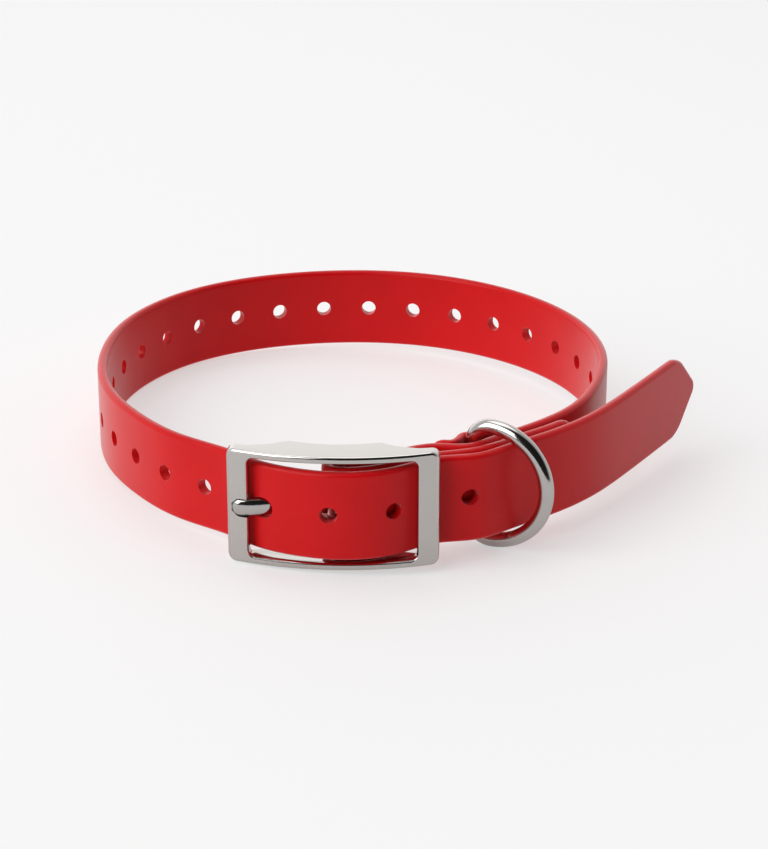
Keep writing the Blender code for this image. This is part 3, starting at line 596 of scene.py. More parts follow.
@dataclass
class FlatStrip:
    """A flat strip with holes that is creased and laid on edge along a route.

    Attributes:
        name: the piece's name.
        route: where it is laid.
        width: height of the strip as it stands.
        thickness: its thickness.
        edge: radius of its long edges.
        rim: radius of the rims of its holes.
        middle: height of its middle.
        stride: most length between creases.
        turn: most bend between creases, in degrees.
    """

    name: str
    route: Route
    width: float = 0.025
    thickness: float = 0.003
    edge: float = 0.0013
    rim: float = 0.0003
    middle: float = 0.0125
    stride: float = 0.0016
    turn: float = 3.5

    def blank(self) -> BMesh:
        """The flat strip, lying along X with its outer face up.

        Returns:
            Its shape.
        """
        bm = bmesh.new()
        bmesh.ops.create_cube(bm, size=1.0)
        bmesh.ops.scale(bm, vec=(self.route.length, self.width, self.thickness), verts=bm.verts)
        bmesh.ops.translate(bm, vec=(self.route.length / 2, 0, 0), verts=bm.verts)
        return bm

    @staticmethod
    def uprights(bm: BMesh, low: float, high: float) -> list[BMEdge]:
        """Edges through the strip's thickness between two places along it.

        Args:
            bm: the flat strip.
            low: first place.
            high: last place.

        Returns:
            The edges.
        """
        return [e for e in bm.edges
                if abs((e.verts[0].co - e.verts[1].co).normalized().z) > UPRIGHT
                and low <= e.verts[0].co.x <= high]

    def rims(self, bm: BMesh, size: float, steps: int) -> None:
        """Round every edge that still stands square to the flat faces.

        Args:
            bm: the flat strip.
            size: radius.
            steps: segments of the rounding.
        """
        half = self.thickness / 2 - TOUCH
        found = []
        for edge in bm.edges:
            a, b = edge.verts[0].co.z, edge.verts[1].co.z
            same_face = abs(a) > half and abs(b) > half and a * b > 0
            if same_face and edge.calc_face_angle(0.0) > SQUARE:
                found.append(edge)
        if found:
            round_edges(bm, found, size, steps, clamp=True)

    def drill(self, s: float, radius: float, rise: float = 0.0, high: float = DRILL_REACH,
              lean: float = 0.0, stretch: float = 0.0, sides: int = 40) -> Object:
        """A round or long cutter through the flat strip.

        Args:
            s: its place along the strip.
            radius: its radius.
            rise: its height above the strip's middle.
            high: its upper end.
            lean: its slant along the strip.
            stretch: extra length of a slot.
            sides: its sides.

        Returns:
            The cutter.
        """
        bm = bmesh.new()
        bmesh.ops.create_cone(bm, cap_ends=True, segments=sides, radius1=radius, radius2=radius,
                              depth=high + DRILL_REACH,
                              matrix=Matrix.Rotation(math.pi / sides, 4, "Z"))
        for vert in bm.verts:
            depth = vert.co.z + (high - DRILL_REACH) / 2
            across = vert.co.x + math.copysign(stretch / 2, vert.co.x)
            vert.co = (s + across + math.tan(lean) * depth, rise + vert.co.y, depth)
        return link_new("drill", bm)

    def lay(self, obj: Object) -> None:
        """Crease the strip and lay it along its route, keeping its flat place as a UV map.

        Args:
            obj: the flat strip, which is bent in place.
        """
        bm = bmesh.new()
        bm.from_mesh(obj.data)
        crease(bm, self.route.stations(math.radians(self.turn), self.stride)[1:-1], TOUCH / 10)
        flat = bm.loops.layers.uv.new("flat")
        for face in bm.faces:
            for loop in face.loops:
                place = loop.vert.co
                loop[flat].uv = (place.x / self.width, place.y / self.width + 0.5)
        verts = list(bm.verts)
        s = np.array([v.co.x for v in verts])
        inside = np.clip(s, 0.0, self.route.length)
        point, normal = self.route.at(inside)
        tangent = np.column_stack([-normal[:, 1], normal[:, 0]])
        depth = np.array([v.co.z for v in verts])
        plan = point + normal * depth[:, None] + tangent * (s - inside)[:, None]
        for vert, (x, y) in zip(verts, plan):
            vert.co = (x, y, self.middle + vert.co.y)
        bmesh.ops.recalc_face_normals(bm, faces=bm.faces)
        bm.to_mesh(obj.data)
        bm.free()


TAIL: Plan = ((0.06413, 0.03924), (0.05702, 0.03112), (0.04900, 0.02360), (0.04081, 0.01590),
    (0.03263, 0.01160), (0.02238, 0.00788), (0.01615, 0.00278), (0.01073, -0.00041))
FOLD: Plan = ((0.00180, -0.00203), (0.00010, -0.00157), (-0.00114, -0.00033), (-0.00160, 0.00137),
    (-0.00114, 0.00307), (0.00010, 0.00432), (0.00180, 0.00477))
INNER_END: Plan = ((0.01384, 0.00914), (0.02667, 0.01595), (0.03530, 0.01629), (0.04128, 0.02105),
    (0.04941, 0.02905))
LOOP: Plan = ((0.06376, 0.04636), (0.07144, 0.06799), (0.07395, 0.08858), (0.07159, 0.10847),
    (0.06450, 0.12715), (0.05284, 0.14359), (0.03734, 0.15656), (0.01919, 0.16487),
    (-0.00059, 0.16764), (-0.02037, 0.16504), (-0.03882, 0.15778), (-0.05476, 0.14567),
    (-0.06627, 0.12923), (-0.07277, 0.11055), (-0.07454, 0.09065), (-0.07262, 0.07076),
    (-0.06672, 0.05155), (-0.05668, 0.03443), (-0.04339, 0.01955))
FREE_END: Plan = ((-0.02535, 0.00632), (-0.02240, 0.00352), (-0.01098, -0.00292),
    (0.00180, -0.00543), (0.01344, -0.00292), (0.02240, 0.00352), (0.02535, 0.00578),
    (0.03793, 0.00969), (0.04590, 0.01609), (0.05786, 0.02716), (0.06878, 0.03979),
    (0.07838, 0.05571), (0.08856, 0.07491), (0.10111, 0.09930))
PRONG_LINE: Plan = ((-0.00106, 0.00137), (-0.00591, 0.00161), (-0.01105, 0.00142),
    (-0.01534, 0.00066), (-0.01920, -0.00040), (-0.02277, -0.00099), (-0.02677, -0.00057))


@dataclass
class Band:
    """The strap itself, from its folded tail round the neck to its free tip.

    Attributes:
        back: the hole at the middle of the back, along the strap.
        crown: the middle of the buckle's window, along the strap.
        pitch: spacing of the holes.
        first: number of the first hole, counted from the one at the back.
        last: number of the last hole, counted the same way.
        front: holes near the buckle, in spacings from the crown.
        prong: place, radius, lean and stretch of the hole that the prong goes through.
        slot: place, radius and stretch of the slot in the fold.
        posts: places of the holes for the posts, along the strap.
        recess: radius of the seat of a post's head and its depth below the middle.
        tip: rise and length of the pointed end's slopes.
    """

    route: Route = field(default_factory=lambda: Route(TAIL + FOLD + INNER_END + LOOP + FREE_END))
    back: float = 0.329361
    crown: float = 0.582555
    pitch: float = 0.01506
    first: int = -11
    last: int = 14
    front: tuple[float, ...] = (-0.16, 0.97, 2.52)
    front_rise: float = 0.0006
    hole: float = 0.0023
    prong: tuple[float, float, float, float] = (0.562909, 0.0029, -0.774561, 0.0010)
    slot: tuple[float, float, float] = (0.0822025, 0.0029, 0.013709)
    posts: tuple[float, float, float] = (0.116757, 0.139957, 0.020611)
    post_hole: float = 0.0016
    recess: tuple[float, float] = (0.0024, 0.0003)
    tail_corner: float = 0.006
    tip: tuple[float, float] = (0.011, 0.012)
    tip_round: float = 0.004
    point_round: float = 0.00135

    def outline(self, strip: FlatStrip) -> Object:
        """The flat band without its holes.

        Args:
            strip: the strip that it is made as.

        Returns:
            The band, still flat.
        """
        bm = strip.blank()
        end, slack = self.route.length, 0.001
        rise, length = self.tip
        round_edges(bm, strip.uprights(bm, -1, slack), self.tail_corner, ROUND_STEPS)
        round_edges(bm, strip.uprights(bm, end - slack, end + 1), rise, 1)
        shoulders = strip.uprights(bm, end - rise - slack, end - 5 * slack)
        corners = list({vert for edge in shoulders for vert in edge.verts})
        bmesh.ops.translate(bm, vec=(rise - length, 0, 0), verts=corners)
        round_edges(bm, shoulders, self.tip_round, ROUND_STEPS)
        round_edges(bm, strip.uprights(bm, end - slack / 2, end + 1), self.point_round, 5)
        strip.rims(bm, strip.edge, 5)
        return link_new(strip.name, bm)

    def cutters(self, strip: FlatStrip) -> list[Object]:
        """Cutters for all its holes.

        Args:
            strip: the strip that it is made as.

        Returns:
            The cutters.
        """
        found = [strip.drill(self.back + k * self.pitch, self.hole)
                 for k in range(self.first, self.last + 1)]
        found += [strip.drill(self.crown + self.pitch * place, self.hole, self.front_rise)
                  for place in self.front]
        s, radius, lean, stretch = self.prong
        found.append(strip.drill(s, radius, lean=lean, stretch=stretch))
        s, radius, stretch = self.slot
        found.append(strip.drill(s, radius, stretch=stretch))
        found += [strip.drill(s, self.post_hole, sides=24) for s in self.posts]
        radius, below = self.recess
        found.append(strip.drill(self.posts[2], radius, high=-below, sides=32))
        return found

    def build(self, material: Material) -> Object:
        """Make the band.

        Args:
            material: its finish.

        Returns:
            The band.
        """
        strip = FlatStrip("strap_band", self.route)
        band = self.outline(strip)
        carve(band, self.cutters(strip))
        bm = bmesh.new()
        bm.from_mesh(band.data)
        bmesh.ops.remove_doubles(bm, verts=bm.verts, dist=TOUCH)
        strip.rims(bm, strip.rim, 3)
        bm.to_mesh(band.data)
        bm.free()
        strip.lay(band)
        return finish_piece(band, material, Body.COLLAR, ("strap",))


@dataclass
class RingPatch:
    """The short strip on the inside that holds the ring's straight side.

    Attributes:
        centre: axis of the ring's straight side, in plan.
        station: its place along the strap.
        gap: room between the patch and what it lies on.
        lift: room over the ring's wire, as a multiple of the gap.
        lain: places where it lies on the strap, as shares of half its length.
        spread: how far it follows the wire on each side, in degrees.
    """

    centre: tuple[float, float] = (0.03644136, 0.02166713)
    station: float = 0.128357
    length: float = 0.02898
    thickness: float = 0.002
    edge: float = 0.0007
    stride: float = 0.001
    gap: float = 0.0003
    lift: float = 1.4
    wire: float = 0.0021
    half_strap: float = 0.0015
    corner: float = 0.0042
    lain: tuple[float, ...] = (-1.0, -0.82, -0.64, 0.64, 0.82, 1.0)
    spread: float = 42.0

    @property
    def under(self) -> float:
        """Distance from the strap's middle line to the patch's."""
        return self.half_strap + self.gap + self.thickness / 2

    def route(self, band: Route) -> Route:
        """The patch's own route over the band's inner face and the ring.

        Args:
            band: the strap's route.

        Returns:
            The patch's route.
        """
        half = self.length / 2
        over = self.wire + self.gap * self.lift + self.thickness / 2
        point, normal = band.at(np.array([self.station + half * place for place in self.lain]))
        lain = point - normal * self.under
        inward = -band.at(np.array([self.station]))[1][0]
        along = np.array([inward[1], -inward[0]])
        bulge = [np.array(self.centre) + over * (inward * math.cos(a) + along * math.sin(a))
                 for a in (math.radians(-self.spread), 0.0, math.radians(self.spread))]
        points = list(lain[:3]) + bulge + list(lain[3:])
        return Route(tuple((float(p[0]), float(p[1])) for p in points))

    def build(self, material: Material, band: Band) -> Object:
        """Make the patch.

        Args:
            material: its finish.
            band: the strap that it lies on.

        Returns:
            The patch.
        """
        route = self.route(band.route)
        strip = FlatStrip("ring_patch_strip", route, thickness=self.thickness, edge=self.edge,
                          stride=self.stride)
        bm = strip.blank()
        round_edges(bm, strip.uprights(bm, -1, 1), self.corner, ROUND_STEPS)
        strip.rims(bm, strip.edge, 4)
        patch = link_new(strip.name, bm)
        cutters = []
        for s in band.posts[:2]:
            point, normal = band.route.at(np.array([s]))
            target = point[0] - normal[0] * self.under
            nearest = int(np.argmin(np.hypot(*(route.line - target).T)))
            cutters.append(strip.drill(float(route.along[nearest]), band.post_hole, sides=24))
        carve(patch, cutters)
        strip.lay(patch)
        return finish_piece(patch, material, Body.COLLAR, ("ring_patch",))


@dataclass
class HoldingPost:
    """A plain round post with a flat domed head at each end.

    Attributes:
        origin: where its axis crosses the strap, in plan.
        outward: the way its high end points, in plan.
        low: where its low head starts, along it.
        high: its high end.
        crown: the flat part of a head, as a share of its radius.
        fall: height of a head's slope, as a share of its thickness.
    """

    name: str
    node: str
    origin: tuple[float, float]
    outward: tuple[float, float]
    low: float
    high: float
    shank: float = 0.0013
    head: float = 0.0021
    cap: float = 0.0009
    crown: float = 0.8
    fall: float = 0.4
    middle: float = 0.0125

    def build(self, material: Material) -> Object:
        """Make the post by turning its outline.

        Args:
            material: its finish.

        Returns:
            The post.
        """
        bottom, slope, flat = self.low - self.cap, self.cap * self.fall, self.head * self.crown
        outline = ((0.0, bottom), (flat, bottom), (self.head, bottom + slope),
                   (self.head, self.low), (self.shank, self.low),
                   (self.shank, self.high - self.cap), (self.head, self.high - self.cap),
                   (self.head, self.high - slope), (flat, self.high), (0.0, self.high))
        bm = bmesh.new()
        verts = [bm.verts.new((r, 0, z)) for r, z in outline]
        edges = [bm.edges.new(pair) for pair in zip(verts, verts[1:])]
        bmesh.ops.spin(bm, geom=verts + edges, cent=(0, 0, 0), axis=(0, 0, 1), angle=2 * math.pi,
                       steps=32, use_merge=True)
        bmesh.ops.remove_doubles(bm, verts=bm.verts, dist=TOUCH)
        bmesh.ops.recalc_face_normals(bm, faces=bm.faces)
        turn = Vector((*self.outward, 0)).to_track_quat("Z", "Y").to_matrix().to_4x4()
        place = Matrix.Translation((*self.origin, self.middle)) @ turn
        bmesh.ops.transform(bm, matrix=place, verts=bm.verts)
        post = link_new(self.name, bm)
        return finish_piece(post, material, Body.COLLAR, (self.node,))


@dataclass
class Buckle:
    """The curved frame, its hidden bar and the prong.

    Attributes:
        radius: radius of the front face's curve.
        ear: the rails' depth at full profile.
        profile: the rails' depth from the middle, at 0, to the ends, at 1, as a share of that.
        polish: radius of the front's rounded edges.
        window_depth: how much deeper the window's rounding goes, as a factor.
        channel_room: room above and below the window for the strap behind the side bars.
        socket: depth of the bar's sockets in the rails.
        bar_end: length of the bar in each socket.
        blunt: length of the prong's rounded end, as a share of its width.
        bar: the bar's axis in plan.
        eye: outer and inner radius of the prong's eye.
    """

    width: float = 0.0566
    height: float = 0.0325
    radius: float = 0.0743
    corner: float = 0.0022
    side_bar: float = 0.0059
    side_depth: float = 0.0032
    rail: float = 0.0022
    ear: float = 0.0108
    profile: Plan = ((0.0, 0.90), (0.22, 0.93), (0.44, 1.00), (0.58, 0.72), (0.80, 0.44),
                     (1.0, 0.36))
    window_corner: float = 0.0016
    middle: float = 0.0128
    strap_middle: float = 0.0125
    polish: float = 0.0008
    rear_round: float = 0.0003
    window_depth: float = 1.8
    strips: int = 56
    channel_strips: int = 40
    channel_room: float = 0.0002
    socket: float = 0.0016
    bar_end: float = 0.0013
    prong_width: float = 0.0046
    prong_depth: float = 0.0020
    blunt: float = 0.45
    bar: tuple[float, float] = (0.0018, 0.0013711517)
    bar_radius: float = 0.0016
    gap: float = 0.0003
    eye: tuple[float, float] = (0.0035, 0.0019)

    @property
    def side(self) -> float:
        """Half the window's width."""
        return self.width / 2 - self.side_bar

    @property
    def clear(self) -> float:
        """Half the window's height."""
        return self.height / 2 - self.rail

    def face(self, x: float) -> float:
        """Depth of the curved front face at a place across it."""
        ends = self.radius - math.sqrt(self.radius ** 2 - (self.width / 2) ** 2)
        return self.radius - math.sqrt(self.radius ** 2 - x ** 2) - ends

    def rear(self, x: float) -> float:
        """Depth of the rails' rear side at a place across the frame."""
        share = float(np.interp(abs(x) / (self.width / 2), *zip(*self.profile)))
        return self.face(x) + self.ear * share

    def prism(self, name: str, width: float, height: float, depth: float, corner: float) -> Object:
        """A block along Y with rounded corners.

        Args:
            name: the object's name.
            width: its size across.
            height: its height.
            depth: its size along Y.
            corner: radius of its corners.

        Returns:
            The block.
        """
        bm = bmesh.new()
        bmesh.ops.create_cube(bm, size=1.0)
        bmesh.ops.scale(bm, vec=(width, depth, height), verts=bm.verts)
        along = [e for e in bm.edges if abs(e.verts[0].co.y - e.verts[1].co.y) > depth / 2]
        round_edges(bm, along, corner, ROUND_STEPS)
        return link_new(name, bm)

    def frame_block(self) -> Object:
        """The frame: a block with rounded edges and a window, bent to the face's curve.

        Returns:
            The frame, still level.
        """
        block = self.prism("buckle_body", self.width, self.height, 1.0, self.corner)
        window = self.prism("window", 2 * self.side, 2 * self.clear, 2.0, self.window_corner)
        self.round_ends(block, window=False)
        carve(block, [window])
        self.round_ends(block, window=True)
        bm = bmesh.new()
        bm.from_mesh(block.data)
        crease(bm, [self.width * (k / self.strips - 0.5) for k in range(1, self.strips)])
        for vert in bm.verts:
            x, y = vert.co.x, vert.co.y
            vert.co.y = self.face(x) + y + 0.5 if y < 0 else self.rear(x) + y - 0.5
            vert.co.z += self.middle
        bmesh.ops.recalc_face_normals(bm, faces=bm.faces)
        bm.to_mesh(block.data)
        bm.free()
        return block

    def round_ends(self, block: Object, window: bool) -> None:
        """Round the front and rear edges of the straight block.

        Args:
            block: the block, one metre deep along Y.
            window: whether the window's edges are meant, or else the outline's.
        """
        side, clear = self.side + 10 * TOUCH, self.clear + 10 * TOUCH
        bm = bmesh.new()
        bm.from_mesh(block.data)
        for end, size, steps in ((-0.5, self.polish, 4), (0.5, self.rear_round, 2)):
            found = []
            for edge in bm.edges:
                at_end = all(abs(v.co.y - end) <= TOUCH for v in edge.verts)
                inner = all(abs(v.co.x) < side and abs(v.co.z) < clear for v in edge.verts)
                if at_end and inner == window and edge.calc_face_angle(0.0) >= 1.0:
                    found.append(edge)
            round_edges(bm, found, size, steps)
        reach = self.polish + TOUCH
        for vert in bm.verts if window else ():
            near = abs(vert.co.x) < side + reach and abs(vert.co.z) < clear + reach
            if near and vert.co.y < reach - 0.5:
                vert.co.y = (vert.co.y + 0.5) * self.window_depth - 0.5
        bm.to_mesh(block.data)
        bm.free()

    def channel(self) -> Object:
        """Room behind the side bars through which the strap passes.

        Returns:
            The cutter.
        """
        strips, width = self.channel_strips, self.width * 1.1
        bm = bmesh.new()
        bmesh.ops.create_cube(bm, size=1.0)
        bmesh.ops.scale(bm, vec=(width, 1.0, 2 * self.clear + 2 * self.channel_room),
                        verts=bm.verts)
        crease(bm, [width * (k / strips - 0.5) for k in range(1, strips)])
        for vert in bm.verts:
            front = self.face(vert.co.x) + self.side_depth
            vert.co.y = front if vert.co.y < 0 else self.width
            vert.co.z += self.middle
        bmesh.ops.recalc_face_normals(bm, faces=bm.faces)
        return link_new("channel", bm)

    def shank(self, name: str, spare: float, sides: int) -> Object:
        """The prong's oval bar, or the notch that it lies in, which is open to the front.

        Args:
            name: the object's name.
            spare: room all round, or 0 for the prong itself.
            sides: sides of the oval.

        Returns:
            The bar.
        """
        route = Route(PRONG_LINE)
        width, depth = self.prong_width + 2 * spare, self.prong_depth + 2 * spare
        rings, end_rings, crowding, flank = 44, 12, 0.8, 0.75
        smallest = 0.4 if spare else 0.02
        bm = bmesh.new()
        previous = bmesh.ops.create_circle(bm, segments=sides, radius=0.5)["verts"]
        bm.faces.new(previous).normal_flip()
        sections = [list(previous)]
        for _ in range(rings):
            grown = bmesh.ops.extrude_edge_only(bm, edges=self._loop(previous))
            previous = [g for g in grown["geom"] if isinstance(g, BMVert)]
            sections.append(previous)
        bm.faces.new(self._ordered(previous))
        cap = self.prong_width * self.blunt
        stops = np.linspace(0.0, 1.0, rings + 1) ** crowding * route.length
        if not spare:
            fine = np.sin(np.linspace(0, math.pi / 2, end_rings + 1)[1:])
            body = np.linspace(0.0, route.length - cap, rings - end_rings + 1)
            stops = np.concatenate([body, route.length - cap * (1 - fine)])
        point, normal = route.at(stops)
        tangent = np.column_stack([-normal[:, 1], normal[:, 0]])
        for k, section in enumerate(sections):
            left = (route.length - stops[k]) / cap
            size = math.sqrt(max(1 - max(1 - left, 0.0) ** 2, smallest ** 2))
            push = spare if k == rings else 0.0
            for vert in section:
                across, up = vert.co.x * 2, vert.co.y * 2
                plan = point[k] + normal[k] * across * depth / 2 * size + tangent[k] * push
                if spare and plan[1] < point[k][1] - 10 * TOUCH:
                    plan = plan - (0.0, self.width / 4)
                    up = up if abs(up) < flank else math.copysign(1.0, up)
                vert.co = (plan[0], plan[1], self.strap_middle + up * width / 2 * size)
        bmesh.ops.recalc_face_normals(bm, faces=bm.faces)
        return link_new(name, bm)

    @staticmethod
    def _loop(verts: list[BMVert]) -> list[BMEdge]:
        """Edges that join the given verts."""
        inside = set(verts)
        return list({e for v in verts for e in v.link_edges if e.other_vert(v) in inside})

    @staticmethod
    def _ordered(verts: list[BMVert]) -> list[BMVert]:
        """The verts of one ring in order round it.

        Args:
            verts: the ring's verts.

        Returns:
            The same verts in order.
        """
        inside, order = set(verts), [verts[0]]
        while len(order) < len(verts):
            near = [e.other_vert(order[-1]) for e in order[-1].link_edges]
            order.append(next(v for v in near if v in inside and v not in order))
        return order

    def upright(self, name: str, radius: float, height: float, sides: int,
                middle: float) -> Object:
        """A cylinder on the bar's axis.

        Args:
            name: the object's name.
            radius: its radius.
            height: its height.
            sides: its sides.
            middle: height of its middle.

        Returns:
            The cylinder.
        """
        bm = bmesh.new()
        bmesh.ops.create_cone(bm, cap_ends=True, segments=sides, radius1=radius, radius2=radius,
                              depth=height)
        bmesh.ops.translate(bm, vec=(*self.bar, middle), verts=bm.verts)
        return link_new(name, bm)

    def mark_polish(self, body: Object) -> None:
        """Give the window's walls and the front bevels their polish, and leave the rest satin.

        Args:
            body: the finished frame, still level.
        """
        layer = body.data.attributes.new("polish", "FLOAT", "FACE")
        within, level, facing = 0.98, 0.02, 0.9
        values = []
        for face in body.data.polygons:
            x, y, z = face.center.x, face.center.y, abs(face.center.z - self.middle)
            out = min(self.width / 2 - abs(x), self.height / 2 - z)
            inward = max(abs(x) - self.side, z - self.clear)
            depth = self.polish * (self.window_depth if inward < out else 1.0)
            bevel = min(out, inward) < self.polish * within and y < self.face(x) + depth
            front = abs(face.normal.z) < level and face.normal.y < -facing
            wall = inward < 100 * TOUCH
            values.append(1.0 if wall or (bevel and not front) else 0.0)
        layer.data.foreach_set("value", values)

    def build(self, satin: Material, polished: Material) -> list[Object]:
        """Make the frame, the bar and the prong.

        Args:
            satin: finish of the frame and bar.
            polished: finish of the prong.

        Returns:
            The three pieces.
        """
        body = self.frame_block()
        outer, inner = self.eye
        sockets = self.upright("sockets", self.bar_radius + self.gap,
                               2 * (self.clear + self.socket), 32, self.middle)
        carve(body, [self.channel(), sockets, self.shank("notch", self.gap, 24)])
        self.mark_polish(body)
        bar = self.upright("bar", self.bar_radius, 2 * (self.clear + self.bar_end), 40,
                           self.middle)
        prong = self.shank("prong_bar", 0.0, 28)
        eye = self.upright("eye", outer, self.prong_width, 48, self.strap_middle)
        carve(prong, [eye], join=True)
        carve(prong, [self.upright("bore", inner, 0.0080, 40, self.strap_middle)])
        return [finish_piece(body, satin, Body.COLLAR, ("buckle_frame",), sharp=30),
                finish_piece(bar, satin, Body.COLLAR, ("centre_bar",),
                             weighted=False, sharp=40),
                finish_piece(prong, polished, Body.COLLAR, ("prong",), sharp=40)]


@dataclass
class LeadRing:
    """The D-ring: one wire with a straight side, two round corners and a round bow.

    Attributes:
        centre: axis of its straight side, in plan.
        height: height of its middle.
        swing: turn of the ring about its straight side at rest.
        half: half the height of the wire's middle line.
    """

    centre: tuple[float, float] = (0.03644136, 0.02166713)
    height: float = 0.0124
    swing: float = math.radians(24.0)
    wire: float = 0.0021
    half: float = 0.0165
    corner: float = 0.0058
    corner_steps: int = 8
    bow_steps: int = 128
    side_steps: int = 12

    def line(self) -> list[tuple[float, float]]:
        """The wire's middle line, in the ring's own plane.

        Returns:
            Its points, round the ring.
        """
        corner = []
        for k in range(self.corner_steps + 1):
            angle = math.pi - math.pi / 2 * k / self.corner_steps
            corner.append((self.corner * (1 + math.cos(angle)),
                           self.half - self.corner * (1 - math.sin(angle))))
        bow = []
        for k in range(1, self.bow_steps):
            angle = math.pi / 2 - math.pi * k / self.bow_steps
            bow.append((self.corner + self.half * math.cos(angle), self.half * math.sin(angle)))
        low, high = -corner[0][1], corner[0][1]
        side = [(0.0, low + (high - low) * k / self.side_steps) for k in range(1, self.side_steps)]
        return corner + bow + [(x, -y) for x, y in reversed(corner)] + side

    def build(self, material: Material) -> Object:
        """Make the ring.

        Args:
            material: its finish.

        Returns:
            The ring.
        """
        curve = bpy.data.curves.new("lead_ring", "CURVE")
        curve.dimensions = "3D"
        curve.bevel_depth = self.wire
        curve.bevel_resolution = 12
        line = curve.splines.new("POLY")
        line.use_cyclic_u = True
        points = self.line()
        line.points.add(len(points) - 1)
        for point, (x, y) in zip(line.points, points):
            point.co = (x, y, 0, 1)
        shape = bpy.data.objects.new("lead_ring_line", curve)
        bpy.context.scene.collection.objects.link(shape)
        bpy.context.view_layer.update()
        evaluated = shape.evaluated_get(bpy.context.evaluated_depsgraph_get())
        mesh = bpy.data.meshes.new_from_object(evaluated)
        bpy.data.objects.remove(shape)
        bm = bmesh.new()
        bm.from_mesh(mesh)
        bmesh.ops.remove_doubles(bm, verts=bm.verts, dist=TOUCH)
        bmesh.ops.recalc_face_normals(bm, faces=bm.faces)
        turn = Matrix.Rotation(-self.swing, 4, "Z") @ Matrix.Rotation(math.pi / 2, 4, "X")
        place = Matrix.Translation((*self.centre, self.height)) @ turn
        bmesh.ops.transform(bm, matrix=place, verts=bm.verts)
        return finish_piece(link_new("lead_ring", bm), material, Body.RING, ("d_ring",),
                            weighted=False)


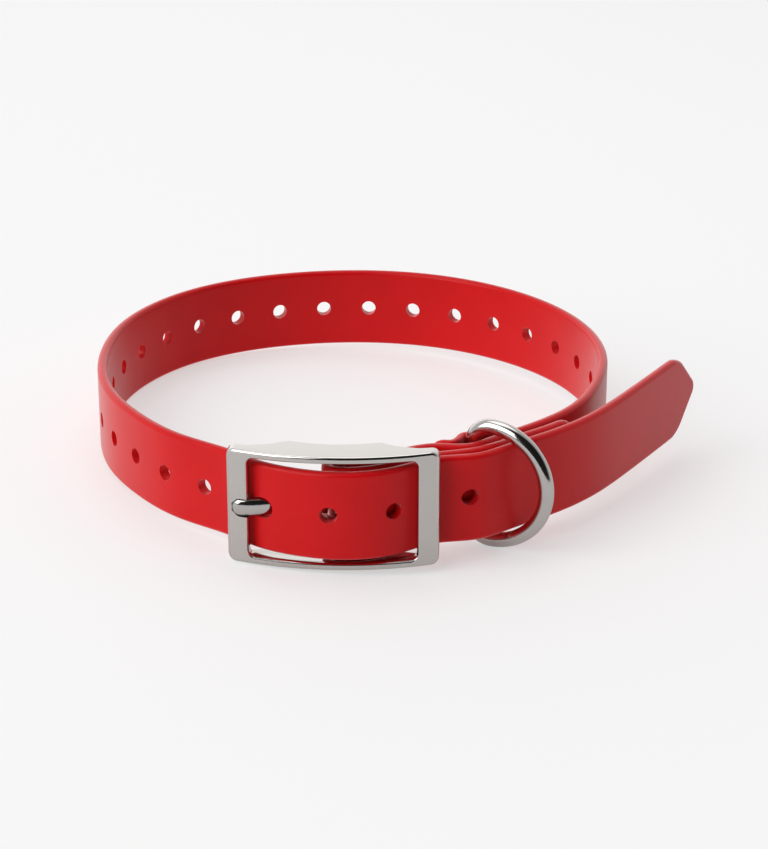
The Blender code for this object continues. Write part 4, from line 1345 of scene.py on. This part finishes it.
@dataclass
class Studio:
    """Floor, light and camera.

    Attributes:
        eye: the camera's place in the collar's level frame.
        heading: its direction in plan.
        pitch: how far it looks down, in degrees.
        focal_pixels: focal length in pixels of the photograph.
        picture: the photograph's size in pixels.
        sensor: the camera's sensor in millimetres.
        dark_side: direction of the darker side of the room.
        room: the room's brightness from the far side, at 0, to the darker side, at 1.
        sky: strength of the room's light.
        key: place, side and power in watts of the main light.
        top: the same of the small light above.
        aim: what the lights face.
        floor_size: half the floor's side.
        floor_colour: its colour.
        glow: light that the floor itself gives off, which keeps its shadows faint.
        glow_in_metal: share of the glow that reflections see, so metal stays darker below.
    """

    eye: Place = (0.0439, -0.5844, 0.2661)
    heading: tuple[float, float] = (-0.0518, 0.9987)
    pitch: float = 21.42
    focal_pixels: float = 2400.0
    picture: tuple[int, int] = (768, 849)
    sensor: float = 36.0
    dark_side: Place = (0.30, -0.86, 0.41)
    room: Plan = ((0.0, 1.0), (0.32, 0.40), (0.66, 0.34), (0.84, 0.008))
    sky: float = 1.7
    key: tuple[Place, float, float] = ((-3.1, -2.7, 2.8), 4.2, 170.0)
    top: tuple[Place, float, float] = ((-0.1, 0.3, 1.3), 0.9, 3.0)
    aim: Place = (0.0, 0.0, 0.01)
    floor_size: float = 6.0
    floor_colour: Colour = (0.48, 0.475, 0.475)
    glow: float = 0.495
    glow_in_metal: float = 0.52

    def camera(self) -> Object:
        """Place the camera at the photograph's viewing angle.

        Returns:
            The camera.
        """
        data = bpy.data.cameras.new("view")
        data.sensor_width = self.sensor
        data.lens = self.focal_pixels / max(self.picture) * self.sensor
        data.clip_start = 0.01
        camera = bpy.data.objects.new("view", data)
        bpy.context.scene.collection.objects.link(camera)
        pitch = math.radians(self.pitch)
        level = Vector((*self.heading, 0)).normalized() * math.cos(pitch)
        forward = level - Vector((0, 0, math.sin(pitch)))
        right = forward.cross(Vector((0, 0, 1))).normalized()
        up = right.cross(forward)
        place = Matrix((right, up, -forward)).transposed().to_4x4()
        place.translation = Vector(self.eye)
        camera.matrix_world = REST.matrix() @ place
        bpy.context.scene.camera = camera
        return camera

    def floor(self) -> Object:
        """A plain pale floor.

        Returns:
            The floor.
        """
        bm = bmesh.new()
        bmesh.ops.create_grid(bm, x_segments=1, y_segments=1, size=self.floor_size)
        floor = link_new("floor", bm)
        material = bpy.data.materials.new("pale_floor")
        material.use_nodes = True
        sheet = NodeSheet(material.node_tree)
        shader = material.node_tree.nodes["Principled BSDF"]
        sheet.fill(shader, {
            "Base Color": (*self.floor_colour, 1.0),
            "Emission Color": (1.0, 1.0, 1.0, 1.0),
            "Roughness": 0.75,
            "Specular IOR Level": 0.15,
        })
        seen_in = sheet.add("ShaderNodeLightPath", "seen in")
        glow = sheet.math("MULTIPLY_ADD", seen_in.outputs["Is Glossy Ray"],
                          (self.glow_in_metal - 1.0) * self.glow, self.glow)
        sheet.link(glow, shader.inputs["Emission Strength"])
        floor.data.materials.append(material)
        return floor

    def light(self, name: str, place: Place, side: float, power: float) -> Object:
        """A soft square light.

        Args:
            name: its name.
            place: where it hangs.
            side: its side.
            power: its power in watts.

        Returns:
            The light.
        """
        data = bpy.data.lights.new(name, "AREA")
        data.shape = "SQUARE"
        data.size = side
        data.energy = power
        lamp = bpy.data.objects.new(name, data)
        bpy.context.scene.collection.objects.link(lamp)
        lamp.location = place
        towards = Vector(self.aim) - Vector(place)
        lamp.rotation_euler = towards.to_track_quat("-Z", "Y").to_euler()
        return lamp

    def surroundings(self) -> None:
        """A bright room, darker on the viewer's side, so polished metal has something to show."""
        world = bpy.data.worlds.new("studio")
        bpy.context.scene.world = world
        world.use_nodes = True
        sheet = NodeSheet(world.node_tree)
        sky = world.node_tree.nodes["Background"]
        side = sheet.add("ShaderNodeVectorMath", "towards the viewer", operation="DOT_PRODUCT")
        side.inputs[1].default_value = self.dark_side
        direction = sheet.add("ShaderNodeTexCoord", "direction").outputs["Generated"]
        sheet.link(direction, side.inputs[0])
        place = sheet.math("MULTIPLY_ADD", side.outputs["Value"], 0.5, 0.5)
        sheet.link(sheet.ramp(place, self.room), sky.inputs["Color"])
        sky.inputs["Strength"].default_value = self.sky

    def build(self) -> None:
        """Set the stage."""
        bpy.context.scene.view_settings.view_transform = "Standard"
        self.floor()
        self.surroundings()
        self.light("key", *self.key)
        self.light("top", *self.top)
        self.camera()


def main() -> None:
    """Build the collar and its stage."""
    logging.basicConfig(level=logging.INFO, format="%(message)s")
    groups = EffectGroups()
    red, satin, polished = (finish.build(groups) for finish in (RED_COAT, SATIN_NICKEL, POLISHED))
    Studio().build()
    band = Band()
    band.build(red)
    RingPatch().build(red, band)
    HoldingPost("post_near_buckle", "post_left", origin=(0.02839288, 0.01602091),
                outward=(-0.01036617, -0.99994627), low=-0.0041, high=0.0027).build(satin)
    HoldingPost("post_past_ring", "post_right", origin=(0.04734175, 0.02704593),
                outward=(0.69293998, -0.72099528), low=-0.0041, high=0.00498).build(satin)
    Buckle().build(satin, polished)
    LeadRing().build(polished)


if __name__ == "__main__":
    main()
